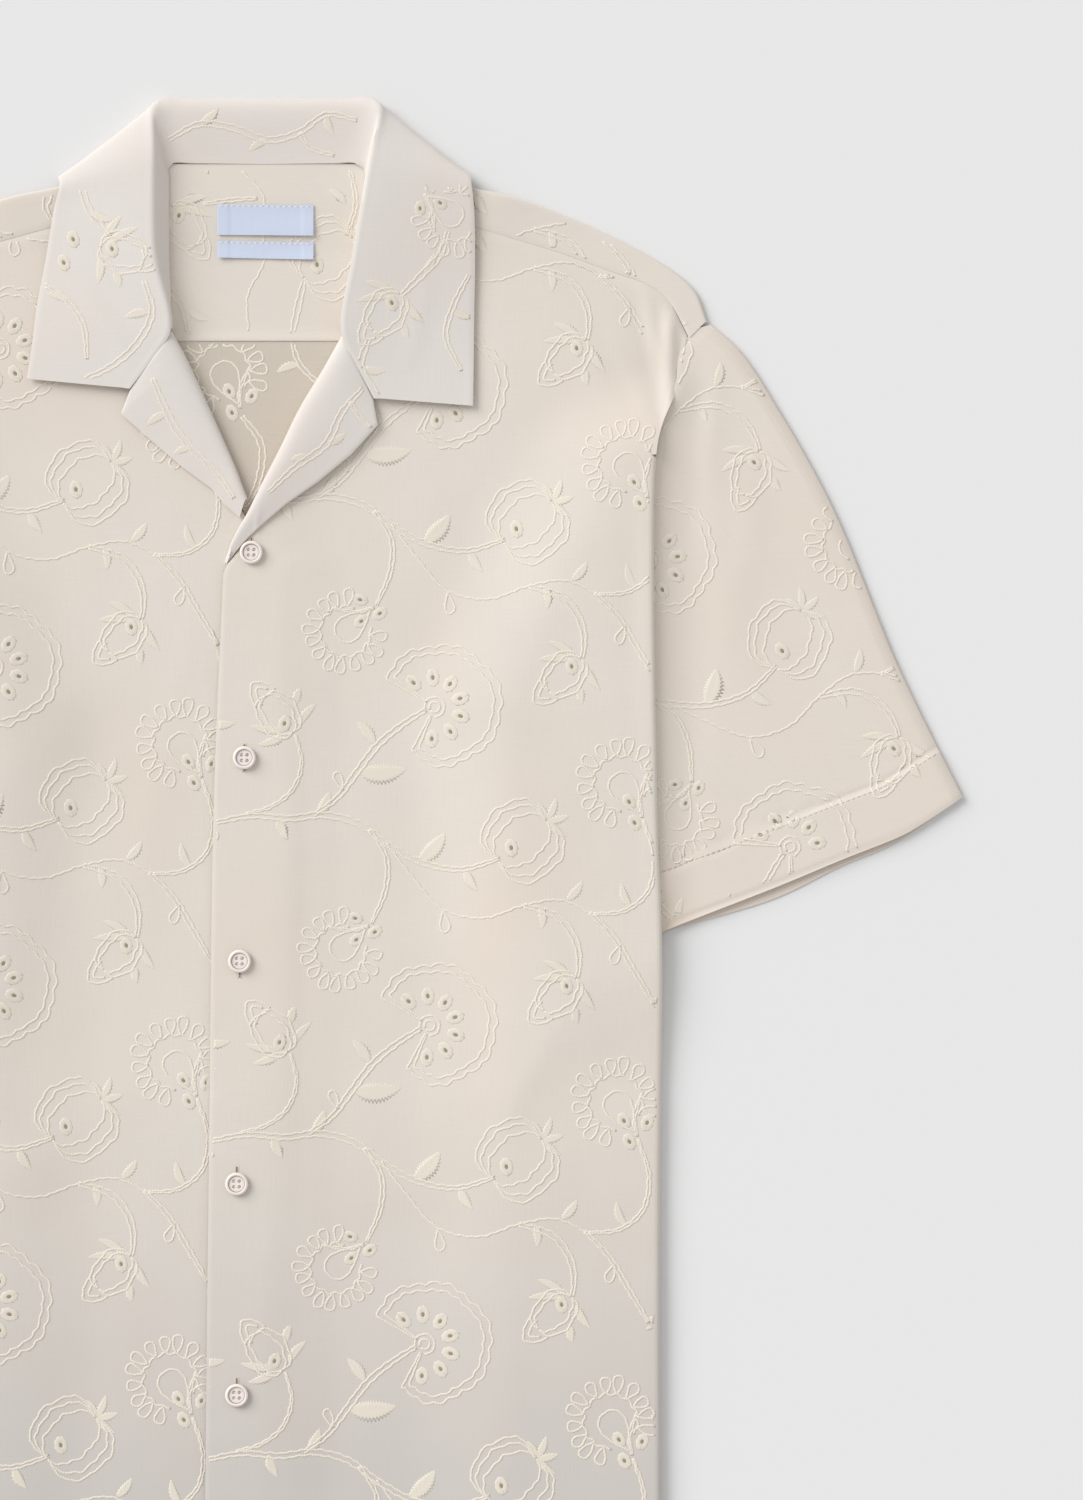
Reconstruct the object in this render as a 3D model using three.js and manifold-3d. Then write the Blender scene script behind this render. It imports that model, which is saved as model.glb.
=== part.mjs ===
// Camp-collar bowling shirt in embroidered cotton, buttoned and laid flat on its back.
// Units are millimetres. +X points to the viewer's right (the wearer's left), +Y to the collar
// and +Z up from the surface. The origin is the middle of the laid shirt, on the surface.
// "drop" is the distance down from the top of the collar, so Y = LENGTH / 2 - drop.
import * as THREE from 'three';
import { mergeVertices } from 'three/addons/utils/BufferGeometryUtils.js';
import Module from 'manifold-3d';

const wasm = await Module();
wasm.setup();

// ---- driving dimensions -------------------------------------------------------------------
const LENGTH = 775; // collar fold to hem
const CLOTH = 1.1; // wall of every cloth piece
const SEAM = 0.3; // clearance between pieces at a seam
const PLY = 1.9; // height of one layer in a stack of plies, air included
const YOKE_SEAM_DROP = 124.5; // seam between yoke and back
const SIDE_SEAM_X = 141; // side seams lie under the body, folded in from its edges
const FOLD_RADIUS = (3 * PLY - CLOTH) / 2; // inside of the front's side fold
const BACK_FOLD_RADIUS = (PLY - CLOTH) / 2; // inside of the back's side fold
const FLAP_TOP_DROP = 187.5; // where the folded-in flap begins below the shoulder
const HEM_STEP = 0.5; // the sleeve's hem is this much thicker
const BUTTON_DIAMETER = 12;
const BUTTON_THICKNESS = 2.6;
const BUTTON_RIM = 1.5;
const BUTTON_WELL_SHARE = 0.62; // height of the well's floor, as a share of the thickness
const BUTTON_WELL_SLOPE = 0.45;
const BUTTON_FOOT_SHARE = 0.82; // radius of the flat underside
const BUTTON_WIDEST_SHARE = 0.45; // height of the widest point
const BUTTON_TOP_SHARE = 0.93; // radius of the rim's crest
const BUTTON_SIDES = 20;
const HOLE_SIDES = 8;
const BUTTON_HOLE_DIAMETER = 1.7;
const BUTTON_HOLE_SPACING = 2.9;
const LABEL_THICKNESS = 1;
const OVERLAP_RAMP = { from: 3, to: 16 }; // where the upper front steps down past the lower one
const FLAP_RAMP = { from: 6, to: 34 }; // inward of the armhole and side seam
const SLEEVE_RAMP = { from: 12, to: 50 }; // inward of the folded sleeve
const PLIES_START_DROP = 140; // folded layers begin to lift the body here
const PINCH = { x: 216, halfWidth: 6, height: 2.2, top: 106, full: 122, fade: 160, bottom: 178 };
const FALL_RAMP = { from: 80, to: 52 }; // drops between which the yoke climbs over the collar's fall
const FALL_SIDE = { from: 165, to: 122 }; // and the distances from the middle where it ends

const COLORS = { cloth: 0xe2d8ce, inside: 0xd8cfc2, label: 0xd3dae8, button: 0xe1d2c8 };

// Rows of numbers as objects with named columns.
function table(columns, rows) {
  return rows.map((row) => Object.fromEntries(columns.map((column, i) => [column, row[i]])));
}

// ---- outlines, as short tables --------------------------------------------------------------
// Shoulder of the yoke: its fold over the shoulder, and its seam with the front.
const SHOULDER = [
  { foldX: 65, foldDrop: 31, seamX: 62, seamDrop: 54 },
  { foldX: 86.5, foldDrop: 38, seamX: 87, seamDrop: 60 },
  { foldX: 112, foldDrop: 46, seamX: 115, seamDrop: 67 },
  { foldX: 137.5, foldDrop: 52, seamX: 137, seamDrop: 73.5 },
  { foldX: 167, foldDrop: 63, seamX: 160, seamDrop: 80.5 },
  { foldX: 198.5, foldDrop: 78, seamX: 186, seamDrop: 90 },
  { foldX: 219.5, foldDrop: 91, seamX: 204, seamDrop: 96.5 },
  { foldX: 229.5, foldDrop: 100.5, seamX: 215, seamDrop: 104.5 },
  { foldX: 235.6, foldDrop: 116, seamX: 226.2, seamDrop: 124.5 },
];
// Armhole, from the shoulder to the underarm point.
const ARMHOLE = [
  { x: 236.5, drop: 117 },
  { x: 226.2, drop: 125.8 },
  { x: 222.5, drop: 134.5 },
  { x: 220.5, drop: 150 },
  { x: 212.5, drop: 169.5 },
  { x: 198, drop: 207 },
  { x: 175, drop: 258 },
  { x: SIDE_SEAM_X, drop: 320.5 },
];
// Folded side edge of the body, as seen from above.
const BODY_EDGE = [
  { drop: 124.5, x: 225.5 },
  { drop: 134.5, x: 222.5 },
  { drop: 150, x: 220.5 },
  { drop: 169.5, x: 212.5 },
  { drop: 187.5, x: 209 },
  { drop: 364.5, x: 209.5 },
  { drop: 442.5, x: 212 },
  { drop: 572.5, x: 211 },
  { drop: LENGTH, x: 211.5 },
];
// Inner edge of the wearer's left front: neckline, under the lapel, then the placket edge.
const LEFT_FRONT_EDGE = [
  { drop: 54, x: 62 },
  { drop: 85, x: 58.5 },
  { drop: 122, x: 53 },
  { drop: 131, x: 49.6 },
  { drop: 146.5, x: 41.6 },
  { drop: 165.5, x: 30.2 },
  { drop: 186, x: 20 },
  { drop: 204.5, x: 10.6 },
  { drop: 220.5, x: 2.2 },
  { drop: 227.5, x: -2.2 },
  { drop: 236, x: -8.4 },
  { drop: 244.5, x: -15.5 },
  { drop: 364.5, x: -20.5 },
  { drop: 547.5, x: -23 },
  { drop: LENGTH, x: -25.5 },
];
// Inner edge of the wearer's right front, which lies under the other one.
const RIGHT_FRONT_EDGE = [
  { drop: 54, x: -46.5 },
  { drop: 85, x: -46.5 },
  { drop: 122, x: -47.5 },
  { drop: 128.5, x: -46.8 },
  { drop: 138.5, x: -41.8 },
  { drop: 158.5, x: -32.4 },
  { drop: 179, x: -22.9 },
  { drop: 195.5, x: -14.9 },
  { drop: 212, x: -7.5 },
  { drop: 242.5, x: 13 },
  { drop: LENGTH, x: 6 },
];
// Wearer's left sleeve: outer fold, and the hem of its front and back layers.
const SLEEVE_FOLD = [
  { x: 237, drop: 117 },
  { x: 252, drop: 130.5 },
  { x: 273.5, drop: 163 },
  { x: 301.5, drop: 214 },
  { x: 333.5, drop: 292 },
  { x: 354.5, drop: 335.5 },
  { x: 368.5, drop: 363 },
];
const SLEEVE_HEM_FRONT = [
  { x: 368.5, drop: 363 },
  { x: 349, drop: 375.5 },
  { x: 337.5, drop: 383 },
  { x: 305, drop: 395 },
  { x: 271, drop: 408 },
  { x: 215, drop: 430.5 },
  { x: 172, drop: 446.5 },
];
const SLEEVE_HEM_BACK = [
  { x: 368.5, drop: 363 },
  { x: 362, drop: 375 },
  { x: 341.5, drop: 384 },
  { x: 305, drop: 398.5 },
  { x: 271, drop: 413 },
  { x: 213, drop: 433.5 },
  { x: 172, drop: 450 },
];
// Lapels: the roll line, the outer edge, and how high each stands above the front.
const LAPEL_COLUMNS = ['rollX', 'rollDrop', 'edgeX', 'edgeDrop', 'rollZ', 'edgeZ'];
const LEFT_LAPEL = table(LAPEL_COLUMNS, [
  [45.3, 125, 62.3, 157.8, 8.5, 5.6],
  [35.5, 142, 64.5, 170, 8.2, 5.4],
  [24, 161, 51, 185, 8, 5.4],
  [14, 181.5, 33.5, 199.5, 7.8, 5.6],
  [4.5, 200, 17, 211, 7.6, 5.8],
  [-3.5, 216, 4, 222, 7.4, 6.4],
  [-8, 223.5, -2.6, 228.2, 7, 6.2],
  [-12.5, 233, -9.4, 235.4, 6.7, 6],
  [-14.6, 238.6, -11.8, 240.4, 6.5, 6],
]);
const RIGHT_LAPEL = table(LAPEL_COLUMNS, [
  [-41.5, 122.9, -63.8, 152.3, 8.5, 5.6],
  [-35.5, 133.5, -68.5, 164, 8, 5.2],
  [-26, 154, -54, 177, 6.8, 4.6],
  [-17, 174, -36.5, 192, 6, 4.2],
  [-10, 190, -21.5, 203, 5.4, 4],
  [-6.4, 199.5, -15, 211, 5.2, 3.9],
  [-3.8, 207, -7.2, 218, 5, 3.9],
]);
// Collar, a row for each station from the wearer's right notch round the neck to the left one.
// base is the neck seam, roll the fold line, edge the outer edge, and gape half the open fold.
const COLLAR_COLUMNS = [
  ...['baseX', 'baseDrop', 'rollX', 'rollDrop', 'edgeX', 'edgeDrop'],
  ...['baseZ', 'rollZ', 'edgeZ', 'gape'],
];
const COLLAR = table(COLLAR_COLUMNS, [
  [-60, 149, -64, 151, -117.5, 146, 5, 6.2, 5.4, 0],
  [-50, 135, -53, 136.4, -115, 130, 5, 7.6, 5, 0],
  [-44.5, 119.5, -42.7, 120, -112.5, 110, 4.6, 9.5, 4.6, -0.3],
  [-45, 84, -50.5, 83.5, -107.5, 84, 4, 11, 5.4, -0.4],
  [-45, 56, -51.5, 52, -103, 58, 4, 11.5, 7, -0.4],
  [-45, 42, -51.5, 26, -100, 46, 4, 11, 7.6, 0],
  [-45, 36, -52, 6, -100, 42, 3.4, 7.5, 4.4, 1.2],
  [-42, 33.6, -47, 1.6, -93, 46, 3, 4.6, 1.2, 1.9],
  [-30, 33.6, -33, 1.2, -50, 47, 2.4, 3.4, CLOTH, 2],
  [5, 34, 6, 1.2, 7, 47, 2, 3.2, CLOTH, 2],
  [40, 33.6, 47, 1.2, 64, 47, 2.4, 3.4, CLOTH, 2],
  [53, 33.6, 61, 1.6, 104, 45, 3, 4.6, 1.2, 1.9],
  [58, 36, 66, 6, 111, 41, 3.4, 7.5, 4.4, 1.2],
  [59, 42, 62.5, 26, 113, 45, 4, 11, 7.6, 0],
  [60, 56, 58, 50.5, 114.5, 58, 4, 11.5, 7, -0.4],
  [57, 84, 52.3, 83.5, 115, 84, 4, 11, 5.4, -0.4],
  [51, 121, 46.5, 121.5, 114.5, 114, 4, 9.5, 4.6, -0.3],
  [55.5, 137.5, 54.5, 139.5, 114.3, 138, 5, 7.6, 5, 0],
  [64, 154, 63, 156, 114, 160, 5, 6.2, 5.4, 0],
]);
const COLLAR_ROWS_WITH_STAND = { first: 2, last: 16 };
const BUTTONS = [
  { x: -1, drop: 236 },
  { x: -4.5, drop: 342.5 },
  { x: -7, drop: 448 },
  { x: -8.5, drop: 563.5 },
  { x: -8.5, drop: 673 },
];
const LABELS = [
  { name: 'label_main', x: 6.2, drop: 63.2, width: 50, height: 16, tilt: 0.01 },
  { name: 'label_small', x: 6.2, drop: 78.7, width: 50, height: 9, tilt: 0.02 },
];

// ---- small helpers -----------------------------------------------------------------------
const UP = new THREE.Vector3(0, 0, 1);
const DOWN = new THREE.Vector3(0, 0, -1);
const place = (x, drop, z) => new THREE.Vector3(x, LENGTH / 2 - drop, z);
const mix = THREE.MathUtils.lerp;
const ramp = (value, from, to) => THREE.MathUtils.clamp((value - from) / (to - from), 0, 1);
const smooth = (value, from, to) => {
  const t = ramp(value, from, to);
  return t * t * (3 - 2 * t);
};

// Value of one column of a table where another column has the given value.
function look(outline, key, value, column) {
  const rising = outline[outline.length - 1][key] > outline[0][key];
  const rows = rising ? outline : [...outline].reverse();
  const next = rows.findIndex((row) => row[key] >= value);
  if (next <= 0) return (next < 0 ? rows[rows.length - 1] : rows[0])[column];
  const low = rows[next - 1];
  const high = rows[next];
  return mix(low[column], high[column], (value - low[key]) / (high[key] - low[key]));
}

// Point at a fraction of a table's length, measured along its x and drop.
function along(outline, fraction) {
  const lengths = [0];
  for (let i = 1; i < outline.length; i += 1) {
    const from = outline[i - 1];
    const step = Math.hypot(outline[i].x - from.x, outline[i].drop - from.drop);
    lengths.push(lengths[i - 1] + step);
  }
  const target = fraction * lengths[lengths.length - 1];
  let i = 1;
  while (i < outline.length - 1 && lengths[i] < target) i += 1;
  const t = (target - lengths[i - 1]) / (lengths[i] - lengths[i - 1]);
  return {
    x: mix(outline[i - 1].x, outline[i].x, t),
    drop: mix(outline[i - 1].drop, outline[i].drop, t),
  };
}

// Distance from a straight line through two points, positive on the side of a third one.
function beside(point, a, b, positive) {
  const nx = b.drop - a.drop;
  const ny = a.x - b.x;
  const size = Math.hypot(nx, ny);
  const signed = (p) => ((p.x - a.x) * nx + (p.drop - a.drop) * ny) / size;
  return signed(point) * Math.sign(signed(positive));
}

// ---- heights of the stacked layers ----------------------------------------------------------
const UNDERARM = { x: SIDE_SEAM_X, drop: 320.5 };
const ARMHOLE_TOP = { x: 236, drop: 117 };
const CUFF_INNER = { x: 172, drop: 450 };
const CUFF_OUTER = { x: 368.5, drop: 363 };
const NECK_SIDE = { x: 0, drop: 200 };
const HEM_SIDE = { x: 172, drop: 700 };

// Share of the height of the two flap layers and of the two sleeve layers under the body.
function plies(x, drop) {
  const point = { x: Math.abs(x), drop };
  const start = smooth(drop, PLIES_START_DROP, FLAP_TOP_DROP);
  const toArmhole = beside(point, ARMHOLE_TOP, UNDERARM, NECK_SIDE);
  const toSideSeam = SIDE_SEAM_X - point.x;
  const flap = start * (1 - smooth(Math.max(toArmhole, toSideSeam), FLAP_RAMP.from, FLAP_RAMP.to));
  const toUnderarm = beside(point, UNDERARM, CUFF_INNER, NECK_SIDE);
  const toHem = beside(point, CUFF_INNER, CUFF_OUTER, HEM_SIDE);
  const outside = Math.max(toArmhole, toUnderarm, toHem);
  const sleeve = start * (1 - smooth(outside, SLEEVE_RAMP.from, SLEEVE_RAMP.to));
  return { flap, sleeve };
}

// Underside of the back layer: on the surface, or raised by what lies beneath it.
function bed(x, drop) {
  const { flap, sleeve } = plies(x, drop);
  const aside = smooth(Math.abs(x), FALL_SIDE.from, FALL_SIDE.to);
  const overFall = ramp(drop, FALL_RAMP.from, FALL_RAMP.to) * aside;
  return PLY * (2 * flap + 2 * sleeve + overFall);
}

// The pinched pleat at the shoulder, where the side fold starts.
function pinch(x, drop) {
  const across = smooth(Math.abs(Math.abs(x) - PINCH.x), PINCH.halfWidth, 0);
  const along = smooth(drop, PINCH.top, PINCH.full) * smooth(drop, PINCH.bottom, PINCH.fade);
  return PINCH.height * across * along;
}

const frontBed = (x, drop) => bed(x, drop) + PLY + pinch(x, drop);
const overlapBed = (x, drop) => {
  const underEdge = look(RIGHT_FRONT_EDGE, 'drop', drop, 'x');
  const past = smooth(x, underEdge + OVERLAP_RAMP.from, underEdge + OVERLAP_RAMP.to);
  return frontBed(x, drop) + PLY * (1 - past);
};

// ---- solids ---------------------------------------------------------------------------------
// A closed cloth wall. Each point has a place on the hidden face (at), the direction of the
// shown face (out) and may have its own thickness; open edges are closed by a rim.
function clothWall(name, rows, color, { keep = () => true, flip = false, round = false } = {}) {
  const columns = rows[0].length;
  const span = round ? columns : columns - 1;
  const cells = [];
  for (let r = 0; r + 1 < rows.length; r += 1) {
    for (let c = 0; c < span; c += 1) {
      const next = (c + 1) % columns;
      const here = r * columns;
      const below = here + columns;
      const cell = [here + c, below + c, below + next, here + next];
      if (keep(r, c)) cells.push(flip ? cell.reverse() : cell);
    }
  }
  const all = rows.flat();
  const used = [...new Set(cells.flat())];
  const number = new Map(used.map((index, order) => [index, order]));
  const count = used.length;
  const hidden = used.map((index) => all[index].at);
  const shown = used.map((index) => {
    const { at, out, wall = CLOTH } = all[index];
    return at.clone().addScaledVector(out, wall);
  });
  const positions = [...hidden, ...shown].flatMap((point) => point.toArray());
  const indices = [];
  const edges = new Map();
  cells.forEach((cell) => {
    const [a, b, c, d] = cell.map((index) => number.get(index));
    indices.push(count + a, count + b, count + c, count + a, count + c, count + d);
    indices.push(a, c, b, a, d, c);
    [[a, b], [b, c], [c, d], [d, a]].forEach(([from, to]) => {
      if (edges.has(`${to},${from}`)) edges.delete(`${to},${from}`);
      else edges.set(`${from},${to}`, [from, to]);
    });
  });
  edges.forEach(([a, b]) => indices.push(a, b, count + b, a, count + b, count + a));
  const geometry = new THREE.BufferGeometry();
  geometry.setAttribute('position', new THREE.Float32BufferAttribute(positions, 3));
  geometry.setIndex(indices);
  geometry.computeVertexNormals();
  return named(name, geometry, color);
}

function named(name, geometry, color, roughness = 0.9) {
  const material = new THREE.MeshStandardMaterial({ color, roughness, metalness: 0 });
  const mesh = new THREE.Mesh(geometry, material);
  mesh.name = name;
  return mesh;
}

// Point of a patch spanned by four edges, each a function of its own share.
function coons({ top, bottom, start, end }, u, v) {
  const blend = (key) => {
    const ruled = mix(top(u)[key], bottom(u)[key], v) + mix(start(v)[key], end(v)[key], u);
    const upper = mix(top(0)[key], top(1)[key], u);
    const lower = mix(bottom(0)[key], bottom(1)[key], u);
    return ruled - mix(upper, lower, v);
  };
  return { x: blend('x'), drop: blend('drop') };
}

// Half round of a fold, from one layer to the next. toward is the plan direction that the
// fold points to, and turn is +1 where it runs from the lower layer to the upper one.
function halfRound(tip, toward, z, radius, turn, steps = FOLD_STEPS) {
  const inset = CLOTH + radius;
  return Array.from({ length: steps + 1 }, (_, k) => {
    const angle = (Math.PI * k) / steps;
    const reach = radius * Math.sin(angle) - inset;
    const at = place(tip.x + toward.x * reach, tip.drop + toward.drop * reach, z);
    at.z += turn * radius * (1 - Math.cos(angle));
    const out = new THREE.Vector3(toward.x * Math.sin(angle), -toward.drop * Math.sin(angle), 0);
    out.z = -turn * Math.cos(angle);
    return { at, out };
  });
}

// ---- fronts and back --------------------------------------------------------------------------
const FOLD_STEPS = 4;
const FLAP_STEPS = 3;
const UPPER_SHARES = [0, 0.27, 0.51, 0.57, 0.66, 0.78, 0.89]; // down the neckline
const BACK_UPPER_DROPS = [134, 143, 152, 161, 170, 179];
const BACK_TUCK_DROP = 150; // the back's fold draws in under the front's below this
const BODY_DROPS = [
  ...[FLAP_TOP_DROP, 204.5, 220.5, 229, 247, 272, 298, 322],
  ...[350, 385, 420, 450, 480, 510, 570, LENGTH],
];
const RAMP_COLUMNS = [60, 84, 106, 116, 126, 136, 160, 186]; // shared by the fronts and the back
const BACK_MIDDLE_COLUMN = 20;
// Shares of the width, above the flaps, of the columns that go on round the fold below.
const FOLD_SHARES = Array.from({ length: FOLD_STEPS + 1 }, (_, k) => mix(0.96, 1, k / FOLD_STEPS));
const PLACKET_DROP = 242.5; // the lower front's edge is straight below this
const PLACKET_OFFSETS = [3, 7.5, 11.5, 16]; // columns over the step of the overlap
const UNDERLAP_COLUMN = 12; // second column of the lower front, in from its edge

const armholeX = (drop) =>
  drop > UNDERARM.drop ? SIDE_SEAM_X : look(ARMHOLE, 'drop', drop, 'x');

// One side's fold and the flap behind it, at one drop, for the front's or the back's layer.
function sideFold(drop, side, radius, layerBed, flapLayer) {
  const edge = look(BODY_EDGE, 'drop', drop, 'x') - (FOLD_RADIUS - radius);
  const tip = { x: side * edge, drop };
  const topZ = layerBed(side * (edge - radius), drop);
  const fold = halfRound(tip, { x: side, drop: 0 }, topZ, radius, -1);
  const from = edge - CLOTH - radius;
  const flap = [];
  for (let k = 1; k <= FLAP_STEPS; k += 1) {
    const x = side * mix(from, armholeX(drop) + SEAM, k / FLAP_STEPS);
    const z = PLY * (flapLayer + 2 * plies(x, drop).sleeve) + CLOTH;
    flap.push({ at: place(x, drop, z), out: DOWN });
  }
  return { fold, flap };
}

// Yoke-to-front seam of one side; the neck is set a little to the viewer's right.
const NECK_SHIFT = 14.6;
const shoulderRow = (row, side) => {
  const share = ramp(row.foldX, SHOULDER[0].foldX, SHOULDER[SHOULDER.length - 1].foldX);
  const shift = side < 0 ? NECK_SHIFT * (1 - share) : 0;
  return { ...row, foldX: side * (row.foldX - shift), seamX: side * (row.seamX - shift) };
};

function front(name, side, edgeTable, layerBed) {
  const inner = (drop) => look(edgeTable, 'drop', drop, 'x');
  const columnsAt = (drop) => {
    const start = inner(drop);
    const ramps = RAMP_COLUMNS.map((x) => side * x);
    if (side < 0) return [start, start - UNDERLAP_COLUMN, ...ramps];
    const step = look(RIGHT_FRONT_EDGE, 'drop', Math.max(drop, PLACKET_DROP), 'x');
    const near = start + 2; // keeps the columns in order where the edges cross
    const placket = PLACKET_OFFSETS.map((offset) => Math.max(step + offset, near + offset));
    return [start, Math.max(mix(start, step, 0.6), near), ...placket, ...ramps];
  };
  const fullRow = (drop) => {
    const { fold, flap } = sideFold(drop, side, FOLD_RADIUS, layerBed, 0);
    const main = columnsAt(drop).map((x) => ({ at: place(x, drop, layerBed(x, drop)), out: UP }));
    return [...main, ...fold, ...flap];
  };
  const seam = SHOULDER.map((row) => {
    const { seamX, seamDrop } = shoulderRow(row, side);
    return { x: seamX, drop: seamDrop + 2 * SEAM };
  });
  const seamStart = seam[0].drop;
  const seamEnd = seam[seam.length - 1].drop;
  const patch = {
    top: (u) => along(seam, u),
    bottom: (u) => ({
      x: mix(inner(FLAP_TOP_DROP), side * look(BODY_EDGE, 'drop', FLAP_TOP_DROP, 'x'), u),
      drop: FLAP_TOP_DROP,
    }),
    start: (v) => {
      const drop = mix(seamStart, FLAP_TOP_DROP, v);
      return { x: inner(drop), drop };
    },
    end: (v) => {
      const drop = mix(seamEnd, FLAP_TOP_DROP, v);
      return { x: side * (look(BODY_EDGE, 'drop', drop, 'x') - SEAM), drop };
    },
  };
  const firstColumns = columnsAt(FLAP_TOP_DROP);
  const width = side * look(BODY_EDGE, 'drop', FLAP_TOP_DROP, 'x') - firstColumns[0];
  const upperShares = [...firstColumns.map((x) => (x - firstColumns[0]) / width), ...FOLD_SHARES];
  const upperRows = UPPER_SHARES.map((v) => {
    const row = upperShares.map((u) => {
      const { x, drop } = coons(patch, u, v);
      return { at: place(x, drop, layerBed(x, drop)), out: UP };
    });
    return [...row, ...Array(FLAP_STEPS).fill(row[row.length - 1])];
  });
  const rows = [...upperRows, ...BODY_DROPS.map(fullRow)];
  const flat = upperShares.length - 1;
  const keep = (r, c) => c < flat || r >= UPPER_SHARES.length;
  return clothWall(name, rows, COLORS.cloth, { keep, flip: side < 0 });
}

function back() {
  const rightColumns = [BACK_MIDDLE_COLUMN, ...RAMP_COLUMNS];
  const mainColumns = [...rightColumns.map((x) => -x).reverse(), ...rightColumns];
  const upper = [YOKE_SEAM_DROP + SEAM, ...BACK_UPPER_DROPS].map((drop) => {
    const tuck = (FOLD_RADIUS - BACK_FOLD_RADIUS) * ramp(drop, BACK_TUCK_DROP, FLAP_TOP_DROP);
    const edge = look(BODY_EDGE, 'drop', drop, 'x') - SEAM - tuck;
    const wing = (side) => FOLD_SHARES.map((share) => side * edge * share);
    const xs = [...wing(-1).reverse(), ...mainColumns, ...wing(1)];
    const row = xs.map((x) => ({ at: place(x, drop, bed(x, drop)), out: UP }));
    const pad = (point) => Array(FLAP_STEPS).fill(point);
    return [...pad(row[0]), ...row, ...pad(row[row.length - 1])];
  });
  const lower = BODY_DROPS.map((drop) => {
    const left = sideFold(drop, -1, BACK_FOLD_RADIUS, bed, 1);
    const right = sideFold(drop, 1, BACK_FOLD_RADIUS, bed, 1);
    const main = mainColumns.map((x) => ({ at: place(x, drop, bed(x, drop)), out: UP }));
    return [...left.flap.reverse(), ...left.fold.reverse(), ...main, ...right.fold, ...right.flap];
  });
  const firstFlat = FLAP_STEPS;
  const lastFlat = lower[0].length - FLAP_STEPS - 1;
  const keep = (r, c) => r >= upper.length || (c >= firstFlat && c < lastFlat);
  return clothWall('back', [...upper, ...lower], COLORS.inside, { keep });
}

// ---- yoke -------------------------------------------------------------------------------------
const NECK_COLUMNS = [-44, -22, 5, 32, 58];
const NECK_SEAM_DROP = 34.2;
const YOKE_DROPS = [100, FALL_RAMP.from, 66, FALL_RAMP.to];
const STRIP_SHARES = [0.5, 1];
const YOKE_FAN = 0.85; // how far the yoke's columns turn from the fold's place to the seam's

function yoke() {
  const bottomDrop = YOKE_SEAM_DROP - SEAM;
  const drops = [bottomDrop, ...YOKE_DROPS, NECK_SEAM_DROP];
  const levels = drops.map((drop) => ramp(drop, bottomDrop, NECK_SEAM_DROP));
  const backColumn = (bottomX, tip) =>
    levels.map((share) => {
      const x = mix(bottomX, tip.x, share);
      const drop = mix(bottomDrop, tip.drop, share);
      return { at: place(x, drop, bed(x, drop) + CLOTH), out: DOWN };
    });
  const shoulder = (side) => {
    const stations = SHOULDER.map((row) => shoulderRow(row, side));
    return stations.map((row, i) => {
      const before = stations[Math.max(i - 1, 0)];
      const after = stations[Math.min(i + 1, stations.length - 1)];
      const run = new THREE.Vector2(after.foldX - before.foldX, after.foldDrop - before.foldDrop);
      run.normalize();
      const toward = { x: side * run.y, drop: -side * run.x };
      const inset = CLOTH + BACK_FOLD_RADIUS;
      const start = { x: row.foldX - toward.x * inset, drop: row.foldDrop - toward.drop * inset };
      const tip = { x: row.foldX, drop: row.foldDrop };
      const z = bed(row.foldX, row.foldDrop) + CLOTH;
      const bottomX = mix(row.foldX, row.seamX, YOKE_FAN);
      const fold = halfRound(tip, toward, z, BACK_FOLD_RADIUS, 1);
      const strip = STRIP_SHARES.map((share) => {
        const x = mix(start.x, row.seamX, share);
        const drop = mix(start.drop, row.seamDrop, share);
        return { at: place(x, drop, frontBed(x, drop)), out: UP };
      });
      return [...backColumn(bottomX, start).slice(0, -1), ...fold, ...strip];
    });
  };
  const neck = NECK_COLUMNS.map((x) => {
    const column = backColumn(x, { x, drop: NECK_SEAM_DROP });
    const pad = Array(FOLD_STEPS + STRIP_SHARES.length).fill(column[column.length - 1]);
    return [...column, ...pad];
  });
  const left = shoulder(-1).reverse();
  const right = shoulder(1);
  const lastBack = levels.length - 1;
  const neckFirst = left.length - 1;
  const neckLast = neckFirst + neck.length;
  const keep = (r, c) => c < lastBack || r < neckFirst || r > neckLast;
  return clothWall('back_yoke', [...left, ...neck, ...right], COLORS.cloth, { keep, flip: true });
}

// ---- sleeves ----------------------------------------------------------------------------------
const SLEEVE_ROWS = [0, 0.12, 0.28, 0.46, 0.64, 0.78, 0.885, 0.9, 1];
const SLEEVE_SHARES = [0.06, 0.2, 0.4, 0.6, 0.8, 0.94];
const HEM_ROW = 7;

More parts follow.
